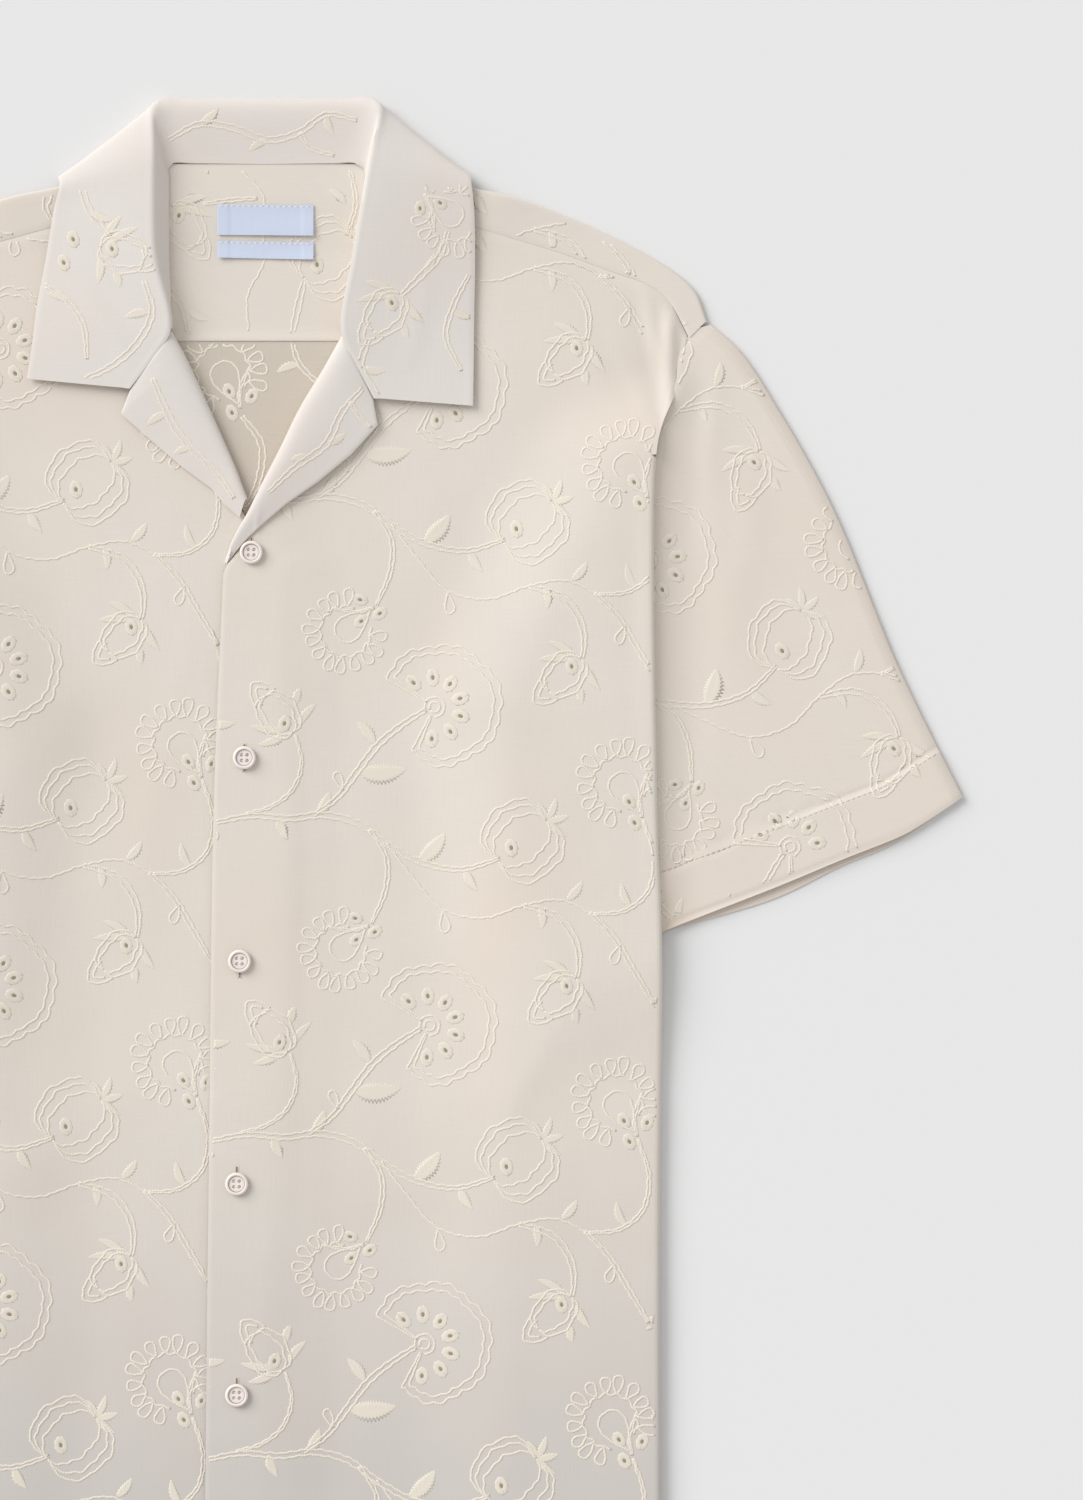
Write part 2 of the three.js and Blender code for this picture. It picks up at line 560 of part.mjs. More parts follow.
function sleeve(name, side) {
  const underarm = [UNDERARM, CUFF_INNER];
  const layer = (hem) => ({
    top: (u) => along(ARMHOLE, u),
    bottom: (u) => along(hem, u),
    start: (v) => along(SLEEVE_FOLD, v),
    end: (v) => along(underarm, v),
  });
  const upperLayer = layer(SLEEVE_HEM_FRONT);
  const lowerLayer = layer(SLEEVE_HEM_BACK);
  const rows = SLEEVE_ROWS.map((v, r) => {
    const wall = CLOTH + (r >= HEM_ROW ? HEM_STEP : 0);
    const outer = along(SLEEVE_FOLD, v);
    const inner = along(underarm, v);
    const run = new THREE.Vector2(outer.x - inner.x, outer.drop - inner.drop).normalize();
    const flat = (patch, u, z, out, thick) => {
      const { x, drop } = coons(patch, u, v);
      return { at: place(side * x, drop, z), out, wall: thick };
    };
    const ring = (tip, sign) => {
      const toward = { x: side * sign * run.x, drop: sign * run.y };
      return halfRound({ x: side * tip.x, drop: tip.drop }, toward, CLOTH, BACK_FOLD_RADIUS, 1);
    };
    const under = [...SLEEVE_SHARES].reverse().map((u) => flat(lowerLayer, u, CLOTH, DOWN, CLOTH));
    const over = SLEEVE_SHARES.map((u) => flat(upperLayer, u, PLY, UP, wall));
    return [...under, ...ring(outer, 1), ...over, ...ring(inner, -1).reverse()];
  });
  return clothWall(name, rows, COLORS.cloth, { flip: side > 0, round: true });
}

// ---- collar and lapels ------------------------------------------------------------------------
// Rows of a cloth that turns over at a roll line, with its shown side found from its own shape.
function rolledRows(sections) {
  const lines = sections.map((points) => {
    const curve = new THREE.CatmullRomCurve3(points, false, 'centripetal');
    const last = points.length - 1;
    return ROLL_SAMPLES.map((sample) => curve.getPoint(sample / last));
  });
  return lines.map((line, r) =>
    line.map((at, c) => {
      const rowBefore = lines[Math.max(r - 1, 0)][c];
      const rowAfter = lines[Math.min(r + 1, lines.length - 1)][c];
      const before = line[Math.max(c - 1, 0)];
      const after = line[Math.min(c + 1, line.length - 1)];
      const out = rowAfter.clone().sub(rowBefore).cross(after.clone().sub(before)).normalize();
      return { at, out };
    }),
  );
}
const ROLL_SAMPLES = [0, 0.5, 1, 1.4, 1.75, 2, 2.25, 2.6, 3, 3.25, 3.5, 3.75, 4];
const ROLL_REACH = 4;

function collar() {
  const sections = COLLAR.map((row) => {
    const base = place(row.baseX, row.baseDrop, row.baseZ);
    const roll = place(row.rollX, row.rollDrop, row.rollZ);
    const edge = place(row.edgeX, row.edgeDrop, row.edgeZ);
    const toBase = Math.min(ROLL_REACH / base.distanceTo(roll), 0.5);
    const toEdge = ROLL_REACH / edge.distanceTo(roll);
    const above = roll.clone().lerp(base, toBase).addScaledVector(UP, row.gape);
    const below = roll.clone().lerp(edge, toEdge).addScaledVector(UP, -row.gape);
    return [base, above, roll, below, edge];
  });
  const { first, last } = COLLAR_ROWS_WITH_STAND;
  const rollColumn = ROLL_SAMPLES.indexOf(2);
  const keep = (r, c) => c >= rollColumn || (r >= first && r < last);
  const rows = rolledRows(sections);
  rows.flat().forEach(({ at, out }) => {
    at.z = Math.max(at.z, -out.z * CLOTH); // the fall rests on the surface
  });
  return clothWall('collar', rows, COLORS.cloth, { keep });
}

const LAPEL_TUCK = 6; // cloth of the front that turns under the lapel
const LAPEL_TUCK_SHARE = 0.8; // but never more of the lapel's width
const LAPEL_SETTLE = 0.3; // the lapel sinks this much past its roll
function lapel(name, stations, side, layerBed) {
  const sections = stations.map((row) => {
    const run = new THREE.Vector2(row.edgeX - row.rollX, row.edgeDrop - row.rollDrop);
    const length = run.length();
    run.normalize();
    const plan = (distance) => [row.rollX + run.x * distance, row.rollDrop + run.y * distance];
    const point = (distance, z) => place(...plan(distance), z);
    const baseZ = layerBed(...plan(LAPEL_TUCK)) + CLOTH;
    const half = (row.rollZ - baseZ) / 2;
    return [
      point(Math.min(LAPEL_TUCK, length * LAPEL_TUCK_SHARE), baseZ),
      point(CLOTH + half, baseZ),
      point(CLOTH, baseZ + half),
      point(CLOTH + half, row.rollZ - LAPEL_SETTLE),
      point(length, row.edgeZ),
    ];
  });
  const ordered = side > 0 ? sections : sections.reverse();
  return clothWall(name, rolledRows(ordered), COLORS.cloth);
}

// ---- buttons and labels -----------------------------------------------------------------------
function solid(geometry) {
  const bare = new THREE.BufferGeometry();
  bare.setAttribute('position', geometry.getAttribute('position').clone());
  if (geometry.index) bare.setIndex(geometry.index.clone());
  const merged = mergeVertices(bare, 1e-4);
  return new wasm.Manifold(
    new wasm.Mesh({
      numProp: 3,
      vertProperties: new Float32Array(merged.attributes.position.array),
      triVerts: new Uint32Array(merged.index.array),
    }),
  );
}

function fromSolid(body) {
  const mesh = body.getMesh();
  const geometry = new THREE.BufferGeometry();
  geometry.setAttribute('position', new THREE.Float32BufferAttribute(mesh.vertProperties, 3));
  geometry.setIndex(new THREE.Uint32BufferAttribute(mesh.triVerts, 1));
  geometry.computeVertexNormals();
  return geometry;
}

// A four-hole button with a raised rim, standing on z = 0.
function buttonGeometry() {
  const radius = BUTTON_DIAMETER / 2;
  const well = BUTTON_THICKNESS * BUTTON_WELL_SHARE;
  const profile = [
    new THREE.Vector2(0, 0),
    new THREE.Vector2(radius * BUTTON_FOOT_SHARE, 0),
    new THREE.Vector2(radius, BUTTON_THICKNESS * BUTTON_WIDEST_SHARE),
    new THREE.Vector2(radius * BUTTON_TOP_SHARE, BUTTON_THICKNESS),
    new THREE.Vector2(radius - BUTTON_RIM, BUTTON_THICKNESS),
    new THREE.Vector2(radius - BUTTON_RIM - BUTTON_WELL_SLOPE, well),
    new THREE.Vector2(0, well),
  ];
  const disc = new THREE.LatheGeometry(profile, BUTTON_SIDES);
  disc.rotateX(Math.PI / 2);
  let body = solid(disc);
  const holeRadius = BUTTON_HOLE_DIAMETER / 2;
  [-1, 1].forEach((sx) => {
    [-1, 1].forEach((sy) => {
      const depth = BUTTON_THICKNESS * 3;
      const hole = new THREE.CylinderGeometry(holeRadius, holeRadius, depth, HOLE_SIDES);
      hole.rotateX(Math.PI / 2);
      hole.translate((sx * BUTTON_HOLE_SPACING) / 2, (sy * BUTTON_HOLE_SPACING) / 2, 0);
      body = body.subtract(solid(hole));
    });
  });
  return fromSolid(body);
}

function button(index, { x, drop }) {
  const mesh = named(`button_${index + 1}`, buttonGeometry(), COLORS.button, 0.35);
  mesh.position.copy(place(x, drop, overlapBed(x, drop) + CLOTH + SEAM));
  return mesh;
}

// A label follows the yoke that it is sewn to.
function label({ name, x, drop, width, height, tilt }) {
  const rows = [-0.5, 0, 0.5].map((v) =>
    [-0.5, -0.25, 0, 0.25, 0.5].map((u) => {
      const labelDrop = drop + v * height + u * width * tilt;
      const labelX = x + u * width - v * height * tilt;
      const z = bed(labelX, labelDrop) + CLOTH + SEAM;
      return { at: place(labelX, labelDrop, z), out: UP, wall: LABEL_THICKNESS };
    }),
  );
  return clothWall(name, rows, COLORS.label);
}

// ---- the shirt --------------------------------------------------------------------------------
const shirt = new THREE.Group();
shirt.add(back());
shirt.add(yoke());
shirt.add(front('front_right', -1, RIGHT_FRONT_EDGE, frontBed));
shirt.add(front('front_left', 1, LEFT_FRONT_EDGE, overlapBed));
shirt.add(sleeve('sleeve_right', -1));
shirt.add(sleeve('sleeve_left', 1));
shirt.add(lapel('lapel_right', RIGHT_LAPEL, -1, frontBed));
shirt.add(lapel('lapel_left', LEFT_LAPEL, 1, overlapBed));
shirt.add(collar());
LABELS.forEach((entry) => shirt.add(label(entry)));
BUTTONS.forEach((entry, index) => shirt.add(button(index, entry)));

export default shirt;
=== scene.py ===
"""Camp-collar bowling shirt in cream embroidered cotton, buttoned and laid flat on its back.

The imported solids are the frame. Every cloth piece is replaced by a thin shell on its own solid's
form, worked out from the same named sizes, and the vine embroidery, eyelets, stitching, buttons
and bare labels are added on those shells. Plans are in millimetres, x to the right and drop down
from the top of the collar, and meshes are in metres.
"""

import logging
import math
from dataclasses import dataclass, field
from enum import Enum

import bpy
import numpy as np
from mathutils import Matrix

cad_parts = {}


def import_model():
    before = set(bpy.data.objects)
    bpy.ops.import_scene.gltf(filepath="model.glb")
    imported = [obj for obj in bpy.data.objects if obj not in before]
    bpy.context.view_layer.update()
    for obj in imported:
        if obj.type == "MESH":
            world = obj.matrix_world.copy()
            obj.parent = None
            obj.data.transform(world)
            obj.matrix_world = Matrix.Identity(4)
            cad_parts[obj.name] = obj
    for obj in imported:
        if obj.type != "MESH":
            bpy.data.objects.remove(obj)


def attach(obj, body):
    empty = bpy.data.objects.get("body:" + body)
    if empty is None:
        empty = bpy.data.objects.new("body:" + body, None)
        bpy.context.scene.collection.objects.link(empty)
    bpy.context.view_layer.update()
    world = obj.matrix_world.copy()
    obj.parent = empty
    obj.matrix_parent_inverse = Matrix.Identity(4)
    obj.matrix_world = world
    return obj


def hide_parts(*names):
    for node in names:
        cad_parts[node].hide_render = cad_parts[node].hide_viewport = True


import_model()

Array = np.ndarray
LOG = logging.getLogger("shirt")
MM = 0.001


# ---- numbers ------------------------------------------------------------------------------------
def ramp(value: Array | float, start: Array | float, end: Array | float) -> Array:
    """Share of the way from start to end, held between 0 and 1."""
    return np.clip((value - start) / (end - start), 0.0, 1.0)


def smooth(value: Array | float, start: Array | float, end: Array | float) -> Array:
    """The same share eased at both ends: t squared times (3 - 2 t)."""
    t = ramp(value, start, end)
    return t * t * (3 - 2 * t)


def mix(a: Array | float, b: Array | float, share: Array | float) -> Array:
    """Straight blend from a to b."""
    return a + (b - a) * share


def unit(vectors: Array) -> Array:
    """Vectors brought to length one, with the shortest ones left as they are."""
    size = np.linalg.norm(vectors, axis=-1, keepdims=True)
    return vectors / np.maximum(size, 1e-9)


def leftward(run: Array) -> Array:
    """Plan directions turned a quarter, from +x toward +drop."""
    return np.stack([-run[..., 1], run[..., 0]], axis=-1)


def distance_run(lines: Array) -> Array:
    """Distance from the first point of each line to every point of it, for lines (..., N, D)."""
    size = np.linalg.norm(np.diff(lines, axis=-2), axis=-1)
    return np.concatenate([np.zeros((*size.shape[:-1], 1)), np.cumsum(size, axis=-1)], axis=-1)


def fold_turns(count: int) -> Array:
    """Angles round a fold, from the one after 0 to half a circle, shape (1, count + 1)."""
    return np.linspace(0, math.pi, count + 2)[None, 1:]


def fold_heights(start: Array, end: Array, turn: Array) -> Array:
    """Heights round a fold, from one layer to the other: their middle, and half the step as a cosine."""
    return (start + end) / 2 + (start - end) / 2 * np.cos(turn)


def spline(points: Array, at: Array) -> Array:
    """Centripetal Catmull-Rom curve: a cubic between each two points, with tangents from both sides
    and spans weighted by the square root of their length.

    Args:
        points: control points, shape (..., K, D).
        at: positions counted in points, 0 to K - 1.

    Returns:
        Points of the curve, shape (..., len(at), D).
    """
    points = np.asarray(points, float)
    last = points.shape[-2] - 1
    first = np.clip(np.floor(at).astype(int), 0, last - 1)
    w = (at - first)[:, None]
    before = 2 * points[..., :1, :] - points[..., 1:2, :]
    after = 2 * points[..., -1:, :] - points[..., -2:-1, :]
    ends = np.concatenate([before, points, after], axis=-2)
    p = [ends[..., first + k, :] for k in range(4)]
    spans = [np.linalg.norm(p[k + 1] - p[k], axis=-1, keepdims=True) for k in range(3)]
    gap = [np.maximum(span, 1e-6) ** 0.5 for span in spans]
    enter = (p[1] - p[0]) / gap[0] - (p[2] - p[0]) / (gap[0] + gap[1]) + (p[2] - p[1]) / gap[1]
    leave = (p[2] - p[1]) / gap[1] - (p[3] - p[1]) / (gap[1] + gap[2]) + (p[3] - p[2]) / gap[2]
    enter, leave = enter * gap[1], leave * gap[1]
    c2 = -3 * p[1] + 3 * p[2] - 2 * enter - leave
    c3 = 2 * p[1] - 2 * p[2] + enter + leave
    return p[1] + w * (enter + w * (c2 + w * c3))


def evenly(line: Array, step: float) -> Array:
    """A line's points set again at an even step, its two ends kept.

    Args:
        line: points, shape (N, D).
        step: distance between the new points.

    Returns:
        Points, shape (M, D).
    """
    run = distance_run(line)
    count = max(int(round(run[-1] / step)), 2)
    at = np.linspace(0, run[-1], count + 1)
    return np.stack([np.interp(at, run, line[:, k]) for k in range(line.shape[1])], axis=1)


class Outline:
    """A cut or folded edge: a smooth line through a few (x, drop) points."""

    def __init__(self, *points: tuple[float, float], corner: int = 0) -> None:
        """Runs the line through the points, in two smooth parts where one is a corner.

        Args:
            points: (x, drop) places in order.
            corner: number of the place that is a corner, or 0.
        """
        ends = np.array(points, float)
        parts = [part for part in (ends[: corner + 1], ends[corner:]) if len(part) > 1]
        self.line = np.concatenate(
            [spline(part, np.linspace(0, len(part) - 1, 16 * (len(part) - 1) + 1)) for part in parts]
        )
        steps = np.linalg.norm(np.diff(self.line, axis=0), axis=1)
        self.run = np.concatenate([[0], np.cumsum(steps)]) / steps.sum()

    def x_at(self, drop: Array | float) -> Array:
        """x of an edge that runs downward, at a drop."""
        return np.interp(drop, self.line[:, 1], self.line[:, 0])

    def along(self, share: Array | float) -> Array:
        """Points at shares of the line's length, shape (..., 2)."""
        return np.stack([np.interp(share, self.run, self.line[:, k]) for k in (0, 1)], axis=-1)


def coons(top: Array, bottom: Array, start: Array, end: Array, u: Array, v: Array) -> Array:
    """Patch between four edges: the two ruled blends added, less the blend of the corners.

    Args:
        top, bottom: edge points at u, shape (C, 2).
        start, end: edge points at v, shape (R, 2).
        u, v: shares across and down.

    Returns:
        Plan points, shape (R, C, 2).
    """
    du, dv = u[None, :, None], v[:, None, None]
    ruled = mix(top[None], bottom[None], dv) + mix(start[:, None], end[:, None], du)
    corners = mix(mix(top[0], top[-1], du), mix(bottom[0], bottom[-1], du), dv)
    return ruled - corners


def inside(points: Array, polygon: Array) -> Array:
    """Whether plan points lie in a polygon, by counting the edges that a level ray crosses.

    Args:
        points: plan points, shape (N, 2).
        polygon: corners, shape (M, 2).

    Returns:
        A truth value for each point.
    """
    x, y = points[:, :1], points[:, 1:]
    x0, y0 = polygon[:, 0], polygon[:, 1]
    x1, y1 = np.roll(x0, -1), np.roll(y0, -1)
    rise = np.where(np.abs(y1 - y0) < 1e-9, 1e-9, y1 - y0)
    crosses = ((y0 > y) != (y1 > y)) & (x < (x1 - x0) * (y - y0) / rise + x0)
    return crosses.sum(axis=1) % 2 == 1


def distance_to(points: Array, line: Array) -> Array:
    """Shortest plan distance from points, shape (..., 2), to a line of points, shape (N, 2).

    Args:
        points: plan points.
        line: points of the line, in order.

    Returns:
        Distances, shape (...).
    """
    flat = points.reshape(-1, 2)
    best = np.full(len(flat), np.inf)
    for a, b in zip(line[:-1], line[1:]):
        span = b - a
        t = np.clip(((flat - a) @ span) / max(span @ span, 1e-9), 0, 1)
        best = np.minimum(best, np.linalg.norm(flat - (a + t[:, None] * span), axis=1))
    return best.reshape(points.shape[:-1])


# ---- the shirt's cut and lie ----------------------------------------------------------------------
@dataclass(frozen=True)
class Lie:
    """Sizes shared by the pieces, and how high each layer lies over what is folded beneath it."""

    length: float = 775.0
    wall: float = 1.1  # of the solids
    cloth: float = 0.5  # of the shown cloth
    ply: float = 1.9
    rest: float = 0.35  # room for the stitches under the cloth that lies on the surface
    seam: float = 0.3
    side_seam_x: float = 141.0
    side_fold: float = 3.4  # outside radius of the front's side fold
    back_fold: float = 1.5
    flap_top: float = 187.5
    yoke_seam: float = 124.5
    neck_seam: float = 34.2
    neck_shift: float = 14.6
    hem_band: float = 28.0
    hem_step: float = 0.7
    pinch_x: float = 216.0
    pinch_half: float = 6.0
    pinch_height: float = 2.2
    pinch_drops: tuple[float, ...] = (106, 122, 160, 178)  # it begins, is full, is full still, ends
    plies_from: float = 140.0  # the folded layers begin to lift the body here
    flap_ramp: tuple[float, float] = (3, 62)  # inward of the armhole and side seam
    sleeve_ramp: tuple[float, float] = (10, 72)  # inward of the folded sleeve
    fall_ramp: tuple[float, float] = (80, 52)  # drops where the yoke climbs over the collar's fall
    fall_sides: tuple[float, float] = (165, 122)  # distances from the middle where that ends
    overlap_ramp: tuple[float, float] = (2, 38)  # past the lower front's edge
    armhole_top: tuple[float, float] = (236, 117)
    armhole_foot: tuple[float, float] = (141, 320.5)
    underarm_end: tuple[float, float] = (172, 450)
    cuff_corner: tuple[float, float] = (368.5, 363)

    def beside(self, x: Array, drop: Array, a: tuple, b: tuple, positive: tuple) -> Array:
        """Distance from the line a b, counted positive on the side of a third point.

        Args:
            x: x of the plan points.
            drop: their drop.
            a: first point of the line.
            b: second point.
            positive: the third point.

        Returns:
            Distances in millimetres.
        """
        nx, ny = b[1] - a[1], a[0] - b[0]
        size = math.hypot(nx, ny)
        sign = math.copysign(1, (positive[0] - a[0]) * nx + (positive[1] - a[1]) * ny)
        return ((x - a[0]) * nx + (drop - a[1]) * ny) / size * sign

    def plies(self, x: Array, drop: Array) -> tuple[Array, Array]:
        """Shares of the height of the two flap layers and of the two sleeve layers under the body:
        eased ramps inward from the armhole, the side seam, the underarm seam and the hem.

        Args:
            x: x of the plan points.
            drop: their drop.

        Returns:
            The flaps' share and the sleeve's share, each 0 to 1.
        """
        side = np.abs(x)
        neck, hem = (0, 200), (172, 700)
        start = smooth(drop, self.plies_from, self.flap_top)
        to_armhole = self.beside(side, drop, self.armhole_top, self.armhole_foot, neck)
        to_underarm = self.beside(side, drop, self.armhole_foot, self.underarm_end, neck)
        to_hem = self.beside(side, drop, self.underarm_end, self.cuff_corner, hem)
        flap = start * (1 - smooth(np.maximum(to_armhole, self.side_seam_x - side), *self.flap_ramp))
        over = np.maximum(np.maximum(to_armhole, to_underarm), to_hem)
        return flap, start * (1 - smooth(over, *self.sleeve_ramp))

    def bed(self, x: Array, drop: Array) -> Array:
        """Height under the back layer: flaps, sleeves, and the collar's fall behind the neck.

        Args:
            x: x of the plan points.
            drop: their drop.

        Returns:
            Heights in millimetres.
        """
        flap, sleeve = self.plies(x, drop)
        over_fall = ramp(drop, *self.fall_ramp) * smooth(np.abs(x), *self.fall_sides)
        return self.ply * (2 * flap + 2 * sleeve + over_fall)

    def on_rest(self, x: Array, drop: Array) -> Array:
        """Height of the upper face of the cloth that lies on the surface."""
        return self.bed(x, drop) + self.rest + self.cloth

    def front_bed(self, x: Array, drop: Array) -> Array:
        """Height under the front layer, with the pinched pleat at the shoulder.

        Args:
            x: x of the plan points.
            drop: their drop.

        Returns:
            Heights in millimetres.
        """
        across = smooth(np.abs(np.abs(x) - self.pinch_x), self.pinch_half, 0)
        top, full, fade, bottom = self.pinch_drops
        pinch = self.pinch_height * across * smooth(drop, top, full) * smooth(drop, bottom, fade)
        return self.bed(x, drop) + self.ply + pinch

    def overlap_bed(self, x: Array, drop: Array) -> Array:
        """Height under the upper front, which steps down past the lower front's edge.

        Args:
            x: x of the plan points.
            drop: their drop.

        Returns:
            Heights in millimetres.
        """
        under = RIGHT_FRONT_EDGE.x_at(drop)
        start, end = self.overlap_ramp
        return self.front_bed(x, drop) + self.ply * (1 - smooth(x, under + start, under + end))


LIE = Lie()

SHOULDER = np.array([  # columns: fold x, fold drop, seam x, seam drop
    (65, 31, 62, 54), (86.5, 38, 87, 60), (112, 46, 115, 67), (137.5, 52, 137, 73.5),
    (167, 63, 160, 80.5), (198.5, 78, 186, 90), (219.5, 91, 204, 96.5), (229.5, 100.5, 215, 104.5),
    (235.6, 116, 226.2, 124.5),
])
ARMHOLE = Outline(
    (236.5, 117), (226.2, 125.8), (222.5, 134.5), (220.5, 150), (212.5, 169.5), (198, 207), (175, 258),
    (141, 320.5),
)
BODY_EDGE = Outline(
    (225.5, 124.5), (222.5, 134.5), (220.5, 150), (212.5, 169.5), (209, 187.5), (209.5, 364.5),
    (212, 442.5), (211, 572.5), (211.5, 775),
)
LEFT_FRONT_EDGE = Outline(
    (62, 54), (58.5, 85), (53, 122), (49.6, 131), (41.6, 146.5), (30.2, 165.5), (20, 186), (10.6, 204.5),
    (2.2, 220.5), (-2.2, 227.5), (-8.4, 236), (-15.5, 244.5), (-20.5, 364.5), (-23, 547.5), (-25.5, 775),
    corner=11,
)
RIGHT_FRONT_EDGE = Outline(
    (-46.5, 54), (-46.5, 85), (-47.5, 122), (-46.8, 128.5), (-41.8, 138.5), (-32.4, 158.5), (-22.9, 179),
    (-14.9, 195.5), (-7.5, 212), (13, 242.5), (6, 775), corner=9,
)
SLEEVE_FOLD = Outline(
    (237, 117), (252, 130.5), (273.5, 163), (301.5, 214), (333.5, 292), (354.5, 335.5), (368.5, 363)
)
SLEEVE_HEM_FRONT = Outline(
    (368.5, 363), (349, 375.5), (337.5, 382), (305, 394.5), (271, 408), (215, 429), (172, 446.5)
)
SLEEVE_HEM_BACK = Outline(
    (368.5, 363), (352, 374.4), (332, 387.6), (305, 399), (271, 415.5), (213, 433.5), (172, 450)
)
UNDERARM = Outline((141, 320.5), (156.5, 385.2), (172, 450))


def shoulder_table(side: int) -> Array:
    """The shoulder's table for one side, with the neck set a little to the viewer's right.

    Args:
        side: 1 or -1, the sign of x.

    Returns:
        The table, shape (9, 4), with x on that side.
    """
    share = (SHOULDER[:, 0] - SHOULDER[0, 0]) / (SHOULDER[-1, 0] - SHOULDER[0, 0])
    shift = LIE.neck_shift * (1 - share) if side < 0 else np.zeros(len(share))
    table = SHOULDER.copy()
    table[:, 0] = side * (SHOULDER[:, 0] - shift)
    table[:, 2] = side * (SHOULDER[:, 2] - shift)
    return table


@dataclass(frozen=True)
class Ease:
    """Soft unevenness of cloth laid by hand: slow waves, and creases placed one by one."""

    waves: tuple = (  # columns: length mm, direction degrees, phase, height mm
        (143, 18, 0.4, 0.09), (97, 74, 2.1, 0.08), (121, 121, 4.0, 0.08), (71, 43, 1.2, 0.06),
        (58, 152, 5.1, 0.05), (44, 95, 3.3, 0.04), (33, 12, 0.9, 0.03), (26, 64, 2.6, 0.02),
    )
    creases: tuple = (  # columns: x, drop, x, drop, half width mm, height mm
        (203, 98, 214, 142, 2.4, 0.7), (196, 104, 209, 150, 2.8, -0.6), (186, 118, 207, 172, 4.5, 0.5),
        (208, 178, 207, 300, 5.0, 0.45), (198, 190, 199, 420, 7.0, -0.35), (150, 96, 188, 150, 8.0, 0.4),
        (120, 90, 104, 190, 9.0, -0.35), (18, 262, 16, 560, 5.0, 0.3), (26, 300, 24, 700, 6.0, -0.25),
        (70, 200, 150, 330, 14, 0.35), (60, 420, 170, 470, 16, 0.3), (40, 600, 150, 560, 15, -0.3),
        (-30, 250, -60, 420, 10, 0.35), (-90, 300, -190, 380, 14, -0.35), (-60, 520, -180, 600, 15, 0.35),
        (-205, 110, -214, 150, 3.0, 0.6), (-190, 120, -206, 176, 4.5, -0.5),
        (-208, 190, -206, 330, 5, 0.45),
        (228, 160, 262, 330, 13, 0.5), (245, 150, 300, 300, 12, -0.45), (222, 300, 318, 372, 11, 0.4),
        (232, 215, 226, 390, 9, -0.4), (270, 240, 340, 352, 10, 0.35), (240, 360, 300, 392, 9, -0.3),
        (-14, 238.5, -7.5, 236, 1.2, -0.35), (3, 214, 1.5, 232, 1.6, 0.3), (9, 236, 30, 232, 5, -0.25),
        (240, 132, 236, 200, 5, 0.6), (232, 130, 228, 240, 6, -0.5), (262, 190, 250, 260, 8, 0.4),
        (-89, 100, -62, 137, 3.0, 0.55), (92, 96, 78, 140, 4.0, 0.35),
        (-236, 160, -270, 330, 13, 0.5), (-228, 260, -320, 370, 12, -0.4), (-250, 330, -300, 380, 10, 0.35),
    )

    def height(self, x: Array, drop: Array) -> Array:
        """Sum of plane sines, and for each crease a bell across its line, faded toward its ends.

        Args:
            x: x of the plan points.
            drop: their drop.

        Returns:
            Heights in millimetres.
        """
        total = np.zeros(np.broadcast(x, drop).shape)
        for length, direction, phase, height in self.waves:
            turn = math.radians(direction)
            total = total + height * np.sin(
                2 * math.pi * (x * math.cos(turn) + drop * math.sin(turn)) / length + phase
            )
        for x0, drop0, x1, drop1, half, height in self.creases:
            span = math.hypot(x1 - x0, drop1 - drop0)
            ux, ud = (x1 - x0) / span, (drop1 - drop0) / span
            along = ((x - x0) * ux + (drop - drop0) * ud) / span
            bend = 0.25 * half * np.sin(5 * along + x0)
            across = -(x - x0) * ud + (drop - drop0) * ux + bend
            fade = smooth(along, -0.15, 0.3) * smooth(along, 1.15, 0.7)
            total = total + height * fade * np.exp(-((across / half) ** 2))
        return total


EASE = Ease()


# ---- meshes -----------------------------------------------------------------------------------
def world(x: Array, drop: Array, z: Array) -> Array:
    """Plan millimetres and height to the row frame, still in millimetres."""
    return np.stack(np.broadcast_arrays(x, LIE.length / 2 - drop, z), axis=-1).astype(float)


def surface_normals(points: Array, ring: bool = False) -> Array:
    """Normals of a grid: the cross product of its downward and rightward steps.

    Args:
        points: the grid, shape (R, C, 3).
        ring: whether the last column joins the first.

    Returns:
        Unit vectors, shape (R, C, 3).
    """
    down = np.gradient(points, axis=0)
    if ring:
        across = np.roll(points, -1, axis=1) - np.roll(points, 1, axis=1)
    else:
        across = np.gradient(points, axis=1)
    return unit(np.cross(down, across))


def all_cells(points: Array) -> Array:
    """A mask that keeps every cell of a grid of points."""
    return np.ones((len(points) - 1, points.shape[1] - 1), bool)


def rings_joined(a: Array, b: Array) -> Array:
    """Quads between rows of corner numbers, each row closed into a ring along its last axis."""
    return np.stack([a, b, np.roll(b, -1, axis=-1), np.roll(a, -1, axis=-1)], axis=-1).reshape(-1, 4)


